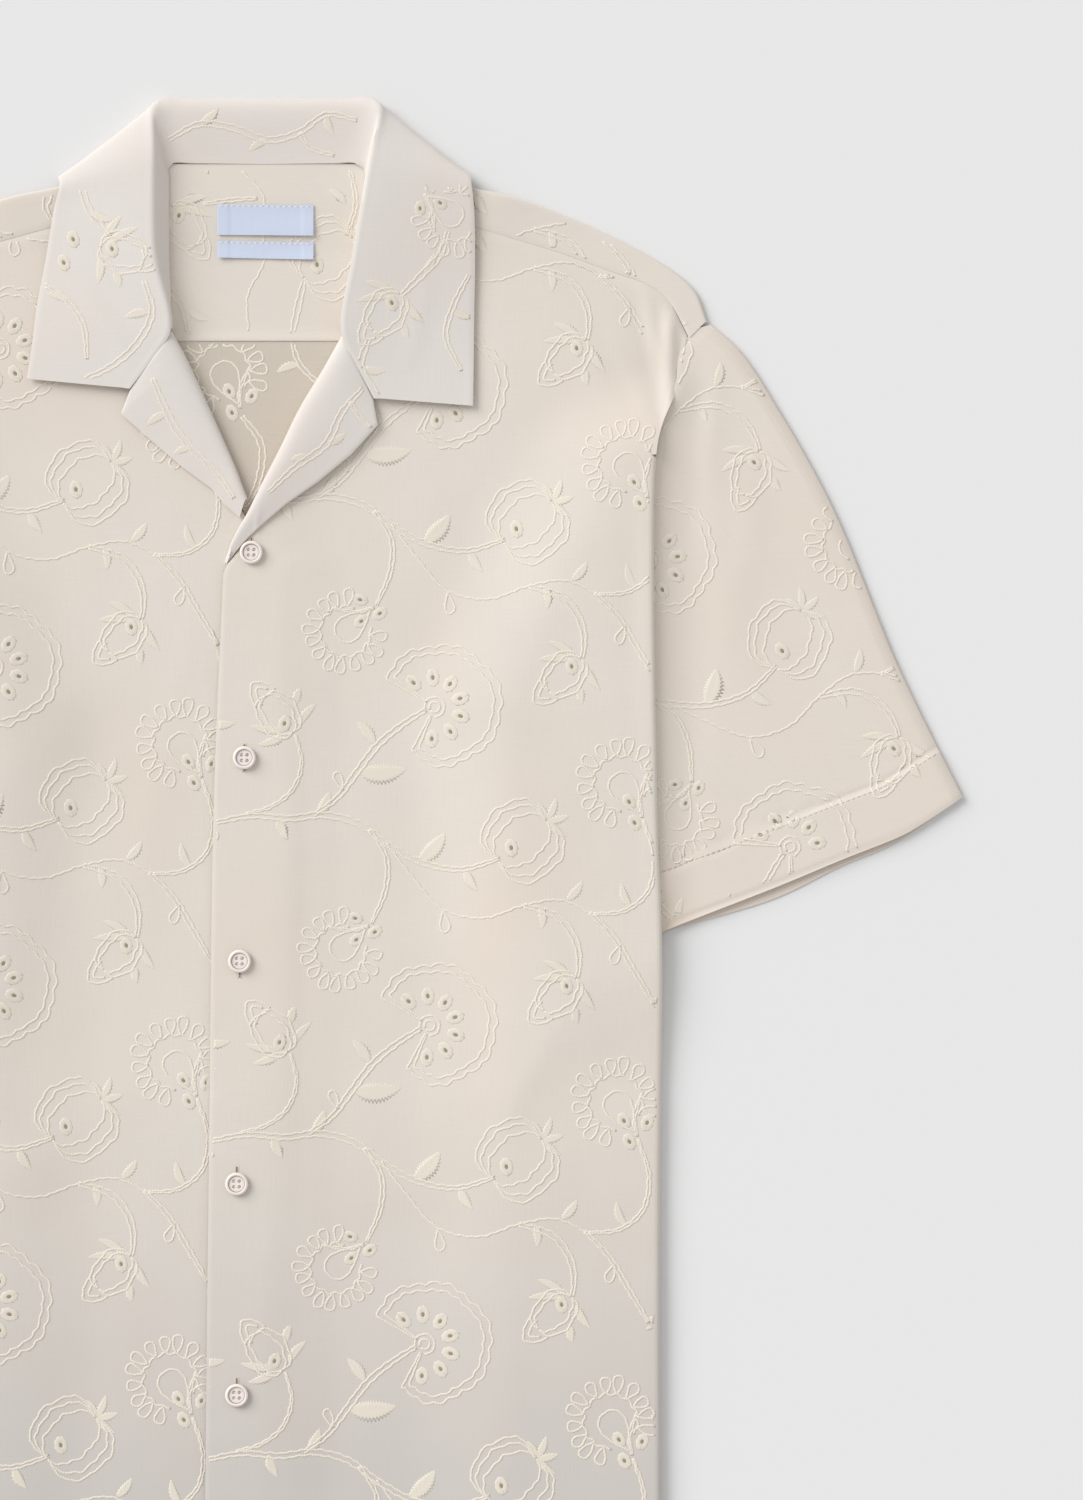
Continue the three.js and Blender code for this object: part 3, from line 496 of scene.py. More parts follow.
def make_object(name: str, vertices: Array, faces: Array | list, uv: Array, materials: list,
                smooth_angle: float = 50, face_material: Array | None = None) -> bpy.types.Object:
    """A mesh object at the origin from arrays.

    Args:
        name: the object's name.
        vertices: places in millimetres, shape (N, 3).
        faces: corner numbers of each face, as an array or a list of lists.
        uv: place on the cut cloth of each vertex in metres, shape (N, 2).
        materials: one or more materials.
        smooth_angle: edges bent more than this many degrees stay sharp.
        face_material: number of each face's material.

    Returns:
        The object, linked to the scene.
    """
    mesh = bpy.data.meshes.new(name)
    mesh.from_pydata((vertices * MM).tolist(), [], faces.tolist() if isinstance(faces, Array) else faces)
    layer = mesh.uv_layers.new(name="cut")
    corners = np.empty(len(mesh.loops), np.int32)
    mesh.loops.foreach_get("vertex_index", corners)
    layer.data.foreach_set("uv", uv[corners].astype(np.float32).ravel())
    for material in materials:
        mesh.materials.append(material)
    if face_material is not None:
        mesh.polygons.foreach_set("material_index", face_material.astype(np.int32))
    mesh.polygons.foreach_set("use_smooth", np.ones(len(mesh.polygons), bool))
    mesh.set_sharp_from_angle(angle=math.radians(smooth_angle))
    mesh.validate()
    thing = bpy.data.objects.new(name, mesh)
    bpy.context.scene.collection.objects.link(thing)
    return thing


def shell(points: Array, wall: Array | float, keep: Array | None = None, ring: bool = False,
          flip: bool = False) -> tuple[Array, Array, Array]:
    """Closed cloth wall: the shown grid, the same grid moved inward by the wall, and a rim.

    Args:
        points: the shown face, shape (R, C, 3), in millimetres.
        wall: thickness, one number or shape (R, C).
        keep: which cells there are, shape (R - 1, C - 1 or C).
        ring: whether the last column joins the first.
        flip: whether the outward side is the other one.

    Returns:
        Vertices (N, 3), faces (M, 4) and the grid number of each vertex (N,).
    """
    rows, columns = points.shape[:2]
    normals = surface_normals(points, ring) * (-1 if flip else 1)
    wall = np.broadcast_to(wall, (rows, columns))[..., None]
    both = np.concatenate([points.reshape(-1, 3), (points - normals * wall).reshape(-1, 3)])
    number = np.arange(rows * columns).reshape(rows, columns)
    right = np.roll(number, -1, axis=1) if ring else number[:, 1:]
    left = number if ring else number[:, :-1]
    cells = np.stack([left[:-1], left[1:], right[1:], right[:-1]], axis=-1)
    cells = cells.reshape(-1, 4) if keep is None else cells[keep]
    if flip:
        cells = cells[:, ::-1]
    total = rows * columns
    start, end = cells.ravel(), np.roll(cells, -1, axis=1).ravel()
    alone = ~np.isin(start * total + end, end * total + start)
    start, end = start[alone], end[alone]
    rim = np.stack([end, start, start + total, end + total], axis=-1)
    faces = np.concatenate([cells, cells[:, ::-1] + total, rim])
    used, order = np.unique(faces, return_inverse=True)
    return both[used], order.reshape(faces.shape), used % total


# ---- shader expressions -------------------------------------------------------------------------
class Value:
    """A shader socket that takes part in arithmetic; every operator adds one Math node."""

    def __init__(self, shader: "Shader", socket: bpy.types.NodeSocket) -> None:
        """Wraps one output socket."""
        self.shader, self.socket = shader, socket

    def math(self, operation: str, *others: "Value | float") -> "Value":
        """A Math node on this value and the others."""
        inputs = dict(enumerate((self, *others)))
        return self.shader.value("ShaderNodeMath", {"operation": operation}, inputs)

    def __add__(self, other: "Value | float") -> "Value":
        """Sum."""
        return self.math("ADD", other)

    __radd__ = __add__

    def __sub__(self, other: "Value | float") -> "Value":
        """Difference."""
        return self.math("SUBTRACT", other)

    def __rsub__(self, other: float) -> "Value":
        """Difference from a number."""
        return self.math("MULTIPLY", -1.0) + other

    def __mul__(self, other: "Value | float") -> "Value":
        """Product."""
        return self.math("MULTIPLY", other)

    __rmul__ = __mul__

    def clipped(self) -> "Value":
        """The value held between 0 and 1."""
        return self.math("MAXIMUM", 0.0).math("MINIMUM", 1.0)


class Shader:
    """A material's nodes, added one by one, with the principled shader at the end."""

    def __init__(self, name: str) -> None:
        """Makes an empty material of that name.

        Args:
            name: the material's name.
        """
        self.material = bpy.data.materials.new(name)
        self.material.use_nodes = True
        self.tree = self.material.node_tree
        self.tree.nodes.clear()
        self.surface = self.node("ShaderNodeBsdfPrincipled")
        output = self.node("ShaderNodeOutputMaterial")
        self.tree.links.new(self.surface.outputs[0], output.inputs[0])

    def node(self, kind: str, settings: dict | None = None, inputs: dict | None = None) -> bpy.types.Node:
        """Adds a node.

        Args:
            kind: Blender's node type.
            settings: attributes, set first.
            inputs: sockets by name or number, each with a value, a Value or an output socket.

        Returns:
            The node.
        """
        made = self.tree.nodes.new(kind)
        for key, setting in (settings or {}).items():
            setattr(made, key, setting)
        for key, given in (inputs or {}).items():
            self.feed(made.inputs[key], given)
        return made

    def feed(self, socket: bpy.types.NodeSocket, given: object) -> None:
        """Links a socket to a Value or output, or sets its constant.

        Args:
            socket: the input.
            given: what goes into it.
        """
        source = given.socket if isinstance(given, Value) else given
        if isinstance(source, bpy.types.NodeSocket):
            self.tree.links.new(source, socket)
        else:
            socket.default_value = source

    def value(self, kind: str, settings: dict | None = None, inputs: dict | None = None,
              output: int | str = 0) -> Value:
        """Adds a node and returns one of its outputs as a Value."""
        return Value(self, self.node(kind, settings, inputs).outputs[output])

    def noise(self, vector: bpy.types.NodeSocket, scale: tuple[float, float, float],
              detail: float = 2) -> Value:
        """Noise over a vector stretched by a scale along each axis.

        Args:
            vector: the coordinates.
            scale: cells for each metre along each axis.
            detail: octaves.

        Returns:
            The noise, about 0 to 1.
        """
        stretched = self.node("ShaderNodeMapping", {}, {"Vector": vector, "Scale": scale}).outputs[0]
        inputs = {"Vector": stretched, "Scale": 1.0, "Detail": detail}
        return self.value("ShaderNodeTexNoise", {}, inputs, "Fac")

    def blend(self, share: Value, low: tuple, high: tuple) -> bpy.types.NodeSocket:
        """A colour mixed from two by a share."""
        made = self.node("ShaderNodeMix", {"data_type": "RGBA"}, {0: share, 6: low, 7: high})
        return made.outputs[2]

    def finish(self, roughness: float, colour: object, bump: object = None, **constants: object) -> None:
        """Sets the principled shader's colour, roughness, bump normal and constant sockets.

        Args:
            roughness: 0 to 1.
            colour: a colour or an output socket.
            bump: a normal's output socket.
            constants: other sockets, with _ for each space in a name.
        """
        self.feed(self.surface.inputs["Base Color"], colour)
        self.surface.inputs["Roughness"].default_value = roughness
        if bump is not None:
            self.feed(self.surface.inputs["Normal"], bump)
        for name, constant in constants.items():
            self.surface.inputs[name.replace("_", " ")].default_value = constant


def linear(colour: tuple[float, float, float], lift: float = 1.0) -> tuple[float, float, float, float]:
    """A screen colour of 0 to 255 as linear light, times a lift."""
    parts = [c / 255 / 12.92 if c <= 10.3 else ((c / 255 + 0.055) / 1.055) ** 2.4 for c in colour]
    return (*[p * lift for p in parts], 1.0)


# ---- finishes -----------------------------------------------------------------------------------
@dataclass(frozen=True)
class Cotton:
    """Fine cream cotton with faint slubs both ways."""

    name: str
    colour: tuple[float, float, float]
    slub: float = 0.035
    blush: tuple[float, float, float] = (1.0, 0.968, 0.945)
    hem_shade: float = 0.0  # share of painted shade, a greyer tone toward the hem, in place of light that falls off down the shirt
    hem_shade_tone: tuple[float, float, float] = (0.865, 0.88, 0.905)

    def material(self) -> bpy.types.Material:
        """Slub noise stretched along warp and weft tints the colour and gives the bump, a slow noise
        warms it in patches, and where asked, painted shade greys it toward the hem.

        Returns:
            The material.
        """
        shader = Shader(self.name)
        cut = shader.node("ShaderNodeUVMap", {"uv_map": "cut"}).outputs[0]
        weft = shader.noise(cut, (70, 1500, 1))
        warp = shader.noise(cut, (1300, 60, 1))
        cloud = shader.noise(cut, (14, 11, 1), 3)
        tone = (weft + warp) * 0.36 + cloud * 0.28
        colour = shader.blend(
            ((tone - 0.5) * 2.4 + 0.5).clipped(),
            linear(self.colour, 1 - self.slub),
            linear(self.colour, 1 + self.slub),
        )
        patch = ((shader.noise(cut, (11, 7, 1), 1) - 0.5) * 2.6 + 0.3).clipped() * 0.55
        warmed = tuple(c * b for c, b in zip(self.colour, self.blush))
        colour = shader.blend(patch, colour, linear(warmed))
        # painted shade: the colour greys toward the hem by the object's height, standing for light that falls
        # off there
        if self.hem_shade:
            place = shader.node("ShaderNodeTexCoord").outputs["Object"]
            apart = shader.node("ShaderNodeSeparateXYZ", {}, {"Vector": place})
            down = (Value(shader, apart.outputs["Y"]) * -4.0 - 0.5).clipped()
            grey = tuple(c * b for c, b in zip(self.colour, self.hem_shade_tone))
            colour = shader.blend(down * self.hem_shade, colour, linear(grey))
        fine = shader.noise(cut, (2400, 2400, 1), 1)
        height = weft * 0.5 + warp * 0.5 + fine * 0.35
        bump = shader.node("ShaderNodeBump", {}, {"Strength": 0.35, "Distance": 0.0003, "Height": height})
        shader.finish(0.92, colour, bump.outputs[0], Sheen_Weight=0.12, Sheen_Roughness=0.6,
                      Specular_IOR_Level=0.25)
        return shader.material


@dataclass(frozen=True)
class Floss:
    """Embroidery cotton: short stitches one after another along the line, with a soft lustre."""

    name: str
    colour: tuple[float, float, float]
    stitch: float = 0.0014  # metres along the line
    slant: float = 0.0  # how far the stitches lean back to each side

    def material(self) -> bpy.types.Material:
        """A sine along the sewn line, leaning back with the distance from its middle, gives the
        stitches' bump and a slight change of tone.

        Returns:
            The material.
        """
        shader = Shader(self.name)
        cut = shader.node("ShaderNodeUVMap", {"uv_map": "cut"}).outputs[0]
        apart = shader.node("ShaderNodeSeparateXYZ", {}, {"Vector": cut})
        along = Value(shader, apart.outputs["X"])
        if self.slant:
            along = along - Value(shader, apart.outputs["Y"]).math("ABSOLUTE") * self.slant
        beat = (along * (2 * math.pi / self.stitch)).math("SINE") * 0.5 + 0.5
        strand = shader.noise(cut, (900, 3000, 1), 1)
        colour = shader.blend((beat * 0.5 + strand * 0.5).clipped(), linear(self.colour, 0.93),
                              linear(self.colour, 1.03))
        bump = shader.node("ShaderNodeBump", {},
                           {"Strength": 0.5, "Distance": 0.0002, "Height": beat * 0.7 + strand * 0.3})
        shader.finish(0.6, colour, bump.outputs[0], Sheen_Weight=0.2, Specular_IOR_Level=0.4)
        return shader.material


@dataclass(frozen=True)
class Plain:
    """One even finish, such as a button's resin or the painted shade in an eyelet."""

    name: str
    colour: tuple[float, float, float]
    roughness: float = 0.5
    mottle: float = 0.03
    scale: float = 160.0

    def material(self) -> bpy.types.Material:
        """A slow noise over the object's own coordinates varies the tone a little.

        Returns:
            The material.
        """
        shader = Shader(self.name)
        place = shader.node("ShaderNodeTexCoord").outputs["Object"]
        cloud = shader.noise(place, (self.scale,) * 3, 3)
        low, high = (linear(self.colour, 1 + change) for change in (-self.mottle, self.mottle))
        shader.finish(self.roughness, shader.blend(cloud, low, high))
        return shader.material


@dataclass(frozen=True)
class Finishes:
    """Every finish of the shirt, made once."""

    # the fronts take painted shade, greyer toward the hem
    front: Cotton = Cotton("cream cotton", (229, 221, 211), hem_shade=0.8)
    sleeve: Cotton = Cotton("cream cotton, sleeve", (230, 220, 209))
    collar: Cotton = Cotton("cream cotton, collar", (229, 223, 217))
    # the wrong side's own tone, made darker with painted shade of the shirt's inside, seen in the neck
    inner: Cotton = Cotton("cream cotton, wrong side", (210, 201, 188))
    floss: Floss = Floss("cream floss", (238, 229, 215))
    satin: Floss = Floss("cream satin stitch", (237, 228, 213), 0.0010, 1.1)
    seam: Floss = Floss("sewing thread", (216, 204, 190), 0.0008)
    label: Cotton = Cotton("label tape", (209, 218, 237), 0.02, (1.0, 1.0, 1.0))
    button: Plain = Plain("pearl resin", (245, 236, 230), 0.28)
    # painted shade: a darker tone in the groove round the well and on the rim's lower outer side
    button_painted_shade: Plain = Plain("pearl resin, groove", (176, 148, 138), 0.4)
    # painted shade: a dark disc in each eyelet in place of a real hole, for the shaded cloth seen through it
    shade: Plain = Plain("eyelet shade", (160, 147, 126), 0.95)
    # painted shade: the dark strip in each buttonhole, standing for the shaded open slit
    slit: Plain = Plain("buttonhole shade", (122, 104, 92), 0.95)
    floor: Plain = Plain("pale floor", (236, 236, 236), 0.95, 0.0)


# ---- cloth panels ---------------------------------------------------------------------------------
class Side(Enum):
    """The wearer's side; its value is the sign of x."""

    RIGHT = -1
    LEFT = 1


def steps(width: Array | float, count: int, edge: tuple = (0, 0.6, 1.4, 2.8, 5.0)) -> Array:
    """Distances in from an edge: a few close ones to round it, then an even spread to the width.

    Args:
        width: width for each row.
        count: number of even steps.
        edge: the close distances.

    Returns:
        Distances, with one more axis than width.
    """
    near = np.array(edge, float)
    width = np.asarray(width, float)[..., None]
    rest = near[-1] + (width - near[-1]) * np.linspace(0, 1, count + 1)[1:]
    return np.concatenate([np.broadcast_to(near, rest.shape[:-1] + near.shape), rest], axis=-1)


@dataclass
class Panel:
    """A cloth piece that is a shell on one grid. Subclasses give the grid and its plan."""

    node: str
    finish: Cotton
    flat: tuple[float, float]  # the cut's width and length, metres
    area: float  # the cut's area, square metres
    held: str = "laid"
    rests_on: tuple[str, ...] = ()
    slot: str = "cloth"

    def grid(self) -> dict:
        """Returns the shown face and what shell() needs with it."""
        raise NotImplementedError

    def locate(self, plan: Array) -> tuple[Array, Array]:
        """Places and normals on the shown face for plan points, by steps of 1 mm in its height.

        Args:
            plan: plan points, shape (N, 2).

        Returns:
            Places and unit normals, shape (N, 3) each.
        """
        x, drop = plan[..., 0], plan[..., 1]
        z = self.face(x, drop)
        slope_x = (self.face(x + 0.5, drop) - self.face(x - 0.5, drop))
        slope_y = (self.face(x, drop - 0.5) - self.face(x, drop + 0.5))
        return world(x, drop, z), unit(np.stack([-slope_x, -slope_y, np.ones_like(z)], axis=-1))

    def face(self, x: Array, drop: Array) -> Array:
        """Height of the shown face over the plan."""
        raise NotImplementedError

    def outline(self) -> Array:
        """Polygon of the plan that embroidery may cover."""
        raise NotImplementedError

    def covers(self, plan: Array) -> Array:
        """Whether embroidery may lie at plan points."""
        return inside(plan, self.outline())

    def build(self, finishes: Finishes) -> bpy.types.Object:
        """Makes the shell, dresses it and puts it in its solid's place.

        Args:
            finishes: the shirt's finishes.

        Returns:
            The cloth's object.
        """
        grid = self.grid()
        points = grid.pop("points")
        vertices, faces, used = shell(points, **grid)
        u = distance_run(points)
        middle = points.shape[1] // 2
        u = u - u[:, middle:middle + 1] + points[:, middle:middle + 1, 0]
        uv = np.stack([u, points[..., 1]], axis=-1).reshape(-1, 2) * MM
        thing = make_object(f"{self.node}_cloth", vertices, faces, uv[used], [self.finish.material()])
        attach(thing, "root")
        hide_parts(self.node)
        LOG.info("%s: %d triangles, %.4f m2", self.node, 2 * len(faces), mesh_area(vertices, faces) / 2)
        return thing


def mesh_area(vertices: Array, faces: Array) -> float:
    """Area of quads in square metres: half the cross product of each one's diagonals."""
    p = vertices[faces]
    return float(np.linalg.norm(np.cross(p[:, 2] - p[:, 0], p[:, 3] - p[:, 1]), axis=1).sum() / 2) * MM * MM


@dataclass
class Front(Panel):
    """One front, from its neckline and placket edge over the side fold to the side seam."""

    side: Side = Side.LEFT
    columns: int = 50
    fold_steps: int = 9
    flap_steps: int = 12
    upper_rows: int = 34
    body_rows: int = 140
    over_sleeve: float = 0.9  # the flap lies this much higher beside the fold, over the sleeve
    fold_power: float = 0.55  # below 1, the side fold is pressed flatter than a half round
    pinch_clear: tuple[float, float] = (13, 166)  # no sewing so near its line, down to this drop
    edge_turn: tuple[float, float] = (0.25, 1.6)  # how far the inner edge turns down, and its width
    pucker: tuple[float, float] = (0.12, 9)  # of the stitched inner edge: height and width
    pucker_waves: tuple[float, float] = (2.9, 11.3)  # drops for each radian of its two sines
    facing: tuple[float, float, float] = (0.3, 31, 36)  # its step's height, and where that lies
    facing_drops: tuple[float, float] = (225, 250)  # the step shows from here down
    seam_tuck: tuple[float, float, float] = (0.75, 0.3, 2.8)  # its depth at the yoke, and where
    pressed: float = 0.5  # how far the lower front is pressed down beside the upper one

    @property
    def edge(self) -> Outline:
        """The inner edge."""
        return LEFT_FRONT_EDGE if self.side is Side.LEFT else RIGHT_FRONT_EDGE

    def face(self, x: Array, drop: Array) -> Array:
        """Layer height, eased, with a turned-down inner edge and the soft end of its facing.

        Args:
            x: x of the plan points.
            drop: their drop.

        Returns:
            Heights in millimetres.
        """
        bed = LIE.overlap_bed if self.side is Side.LEFT else LIE.front_bed
        inward = self.side.value * (x - self.edge.x_at(drop))
        height, width = self.pucker
        short, long = self.pucker_waves
        pucker = height * np.sin(drop / short) * np.sin(drop / long) * smooth(inward, width, 0)
        rounded = self.edge_turn[0] * (1 - smooth(inward, 0, self.edge_turn[1])) + pucker
        step, start, end = self.facing
        facing = step * (1 - smooth(inward, start, end)) * smooth(drop, *self.facing_drops)
        seam = self.seam_line(0).line
        below = drop - np.interp(self.side.value * x, self.side.value * seam[:, 0], seam[:, 1])
        depth, start, end = self.seam_tuck
        tucked = depth * (1 - smooth(below, start, end))
        if self.side is Side.RIGHT:
            aside = x - LEFT_FRONT_EDGE.x_at(drop)
            tucked = tucked + self.pressed * smooth(aside, -3.0, -0.2) * smooth(drop, 238, 248)
        return bed(x, drop) + LIE.wall + EASE.height(x, drop) - rounded + facing - tucked

    def seam_line(self, tuck: float = 1.4) -> Outline:
        """Plan line of the shoulder seam, from the neck out, tucked under the yoke's edge."""
        table = shoulder_table(self.side.value)
        return Outline(*[(row[2], row[3] - tuck) for row in table])

    def grid(self) -> dict:
        """Upper rows span the seam, neckline and armhole; body rows go on round the fold and flap.

        Returns:
            The shown face and the other arguments of shell().
        """
        side = self.side.value
        seam = self.seam_line()
        drops = np.linspace(LIE.flap_top, LIE.length, self.body_rows)
        start = self.edge.x_at(drops)
        fold_from = BODY_EDGE.x_at(drops) - LIE.side_fold
        widths = side * (side * fold_from - start)
        inward = steps(widths, self.columns)
        x = start[:, None] + side * inward
        z = self.face(x, drops[:, None])
        main = world(x, drops[:, None], z)
        flap_x = fold_from[:, None] + (
            armhole_x(drops)[:, None] + LIE.seam - fold_from[:, None]
        ) * np.linspace(0, 1, self.flap_steps + 1)[1:]
        sleeve = LIE.plies(flap_x, drops[:, None])[1]
        raised = self.over_sleeve * smooth(drops, 150, 190)[:, None] * smooth(drops, 470, 430)[:, None]
        low = 2 * LIE.ply * sleeve + LIE.rest + raised * smooth(fold_from[:, None] - flap_x, 40, 14)
        turn = fold_turns(self.fold_steps)
        low_start = 2 * LIE.ply * LIE.plies(fold_from[:, None], drops[:, None])[1] + LIE.rest + raised
        fold = world(
            side * (fold_from[:, None] + LIE.side_fold * np.abs(np.sin(turn)) ** self.fold_power),
            drops[:, None],
            fold_heights(z[:, -1:], low_start, turn),
        )
        flap = world(side * flap_x, drops[:, None], low)
        body = np.concatenate([main, fold, flap], axis=1)

        full_width = side * (side * BODY_EDGE.x_at(LIE.flap_top) - start[0])
        shares = inward[0] / full_width
        u = np.concatenate([shares, np.linspace(shares[-1], 1, self.fold_steps + 2)[1:]])
        v = np.linspace(0, 1, self.upper_rows + 1)[:-1]
        top = seam.along(u)
        bottom = np.stack([start[0] + side * full_width * u, np.full(len(u), LIE.flap_top)], axis=-1)
        inner_drop = mix(seam.line[0, 1], LIE.flap_top, v)
        outer_drop = mix(seam.line[-1, 1], LIE.flap_top, v)
        inner = np.stack([self.edge.x_at(inner_drop), inner_drop], axis=-1)
        outer = np.stack([side * (BODY_EDGE.x_at(outer_drop) - LIE.seam), outer_drop], axis=-1)
        plan = coons(top, bottom, inner, outer, u, v)
        upper = world(plan[..., 0], plan[..., 1], self.face(plan[..., 0], plan[..., 1]))
        pad = np.repeat(upper[:, -1:], self.flap_steps, axis=1)
        points = np.concatenate([np.concatenate([upper, pad], axis=1), body])
        keep = all_cells(points)
        keep[: self.upper_rows, upper.shape[1] - 1:] = False
        return {"points": points, "wall": LIE.cloth, "keep": keep, "flip": side < 0}

    def covers(self, plan: Array) -> Array:
        """Where it can be sewn: not in the pinch beside the shoulder's end.

        Args:
            plan: plan points, shape (N, 2).

        Returns:
            A truth value for each point.
        """
        near, lowest = self.pinch_clear
        pinched = (np.abs(plan[:, 0]) > LIE.pinch_x - near) & (plan[:, 1] < lowest)
        return super().covers(plan) & ~pinched

    def outline(self) -> Array:
        """Between the inner edge, the shoulder seam, the side fold and the hem.

        Returns:
            Corners of the polygon, shape (N, 2).
        """
        side = self.side.value
        drops = np.linspace(LIE.flap_top - 60, LIE.length - 3, 60)
        inner_drops = np.linspace(56, LIE.length - 3, 120)
        inner = np.stack([self.edge.x_at(inner_drops) + side * 1.2, inner_drops], axis=-1)
        outer = np.stack([side * (BODY_EDGE.x_at(drops) - 2.4), drops], axis=-1)
        seam = self.seam_line(0).line + [0, 1.8]
        return np.concatenate([inner, outer[::-1], seam[::-1]])


def armhole_x(drop: Array) -> Array:
    """x of the armhole or, below it, of the side seam."""
    return np.where(drop > 320.5, LIE.side_seam_x, ARMHOLE.x_at(drop))


@dataclass
class Back(Panel):
    """The back below the yoke; its wrong side shows in the neck, its right side lies down."""

    columns: int = 84
    fold_steps: int = 6
    flap_steps: int = 8
    upper_rows: int = 14
    body_rows: int = 90
    eased: float = 0.6  # share of the unevenness that it takes
    flap_gap: float = 0.3  # between its flap and the sleeve

    def face(self, x: Array, drop: Array) -> Array:
        """Height of the wrong side, facing up."""
        swell = self.eased * EASE.height(x + 37, drop + 11) * smooth(drop, 110, 150)
        return LIE.on_rest(x, drop) + swell

    def flap_height(self, x: Array, drop: Array) -> Array:
        """Height of the flap that is folded in over the sleeve's two layers."""
        return LIE.ply * (1 + 2 * LIE.plies(x, drop)[1]) + self.flap_gap

    def grid(self) -> dict:
        """Rows across the back; below the armholes they go on round the inner folds and flaps.

        Returns:
            The shown face and the other arguments of shell().
        """
        upper_drops = np.linspace(LIE.yoke_seam + 0.1, LIE.flap_top, self.upper_rows + 1)[:-1]
        body_drops = np.linspace(LIE.flap_top, LIE.length, self.body_rows)
        drops = np.concatenate([upper_drops, body_drops])[:, None]
        tuck = (LIE.side_fold - LIE.back_fold) * ramp(drops, 150, LIE.flap_top)
        edge = BODY_EDGE.x_at(drops) - LIE.seam - tuck
        rolled = (drops >= LIE.flap_top).astype(float)
        half = edge - LIE.back_fold * rolled
        x = half * np.linspace(-1, 1, self.columns)
        z = self.face(x, drops)
        parts = [world(x, drops, z)]
        turn = fold_turns(self.fold_steps)
        outward = np.linspace(0, 1, self.flap_steps + 1)[1:]
        for side in (1, -1):
            high = self.face(side * half, drops)
            fold_x = mix(half + (edge - half) * np.linspace(0, 1, self.fold_steps + 2)[1:] + 0.2,
                         half + LIE.back_fold * np.sin(turn), rolled)
            fold_z = mix(high, fold_heights(high, self.flap_height(half, drops), turn), rolled)
            flap_x = half + (armhole_x(drops) + LIE.seam - half) * outward
            flap_z = self.flap_height(flap_x, drops)
            flap_x, flap_z = mix(fold_x[:, -1:], flap_x, rolled), mix(fold_z[:, -1:], flap_z, rolled)
            ends = [world(side * fold_x, drops, fold_z), world(side * flap_x, drops, flap_z)]
            wing = np.concatenate(ends, axis=1)
            parts = [*parts, wing] if side > 0 else [wing[:, ::-1], *parts]
        points = np.concatenate(parts, axis=1)
        keep = all_cells(points)
        keep[: self.upper_rows, : self.flap_steps] = False
        keep[: self.upper_rows, -self.flap_steps:] = False
        return {"points": points, "wall": LIE.cloth, "keep": keep}

    def outline(self) -> Array:
        """The part that shows in the neck opening."""
        return np.array([(-60, 127), (70, 127), (60, 150), (0, 250), (-20, 240)], float)


@dataclass
class BackOutside(Back):
    """Plan of the back's right side, which lies on the surface, for its embroidery."""

    def locate(self, plan: Array) -> tuple[Array, Array]:
        """Places under the cloth, with normals down."""
        places, normals = super().locate(plan)
        return places - normals * LIE.cloth, -normals

    def outline(self) -> Array:
        """Between the side seams, from the yoke seam to the hem."""
        return np.array([(-139, 322), (-139, 772), (139, 772), (139, 322), (205, 180), (205, 128),
                         (-205, 128), (-205, 180)], float)


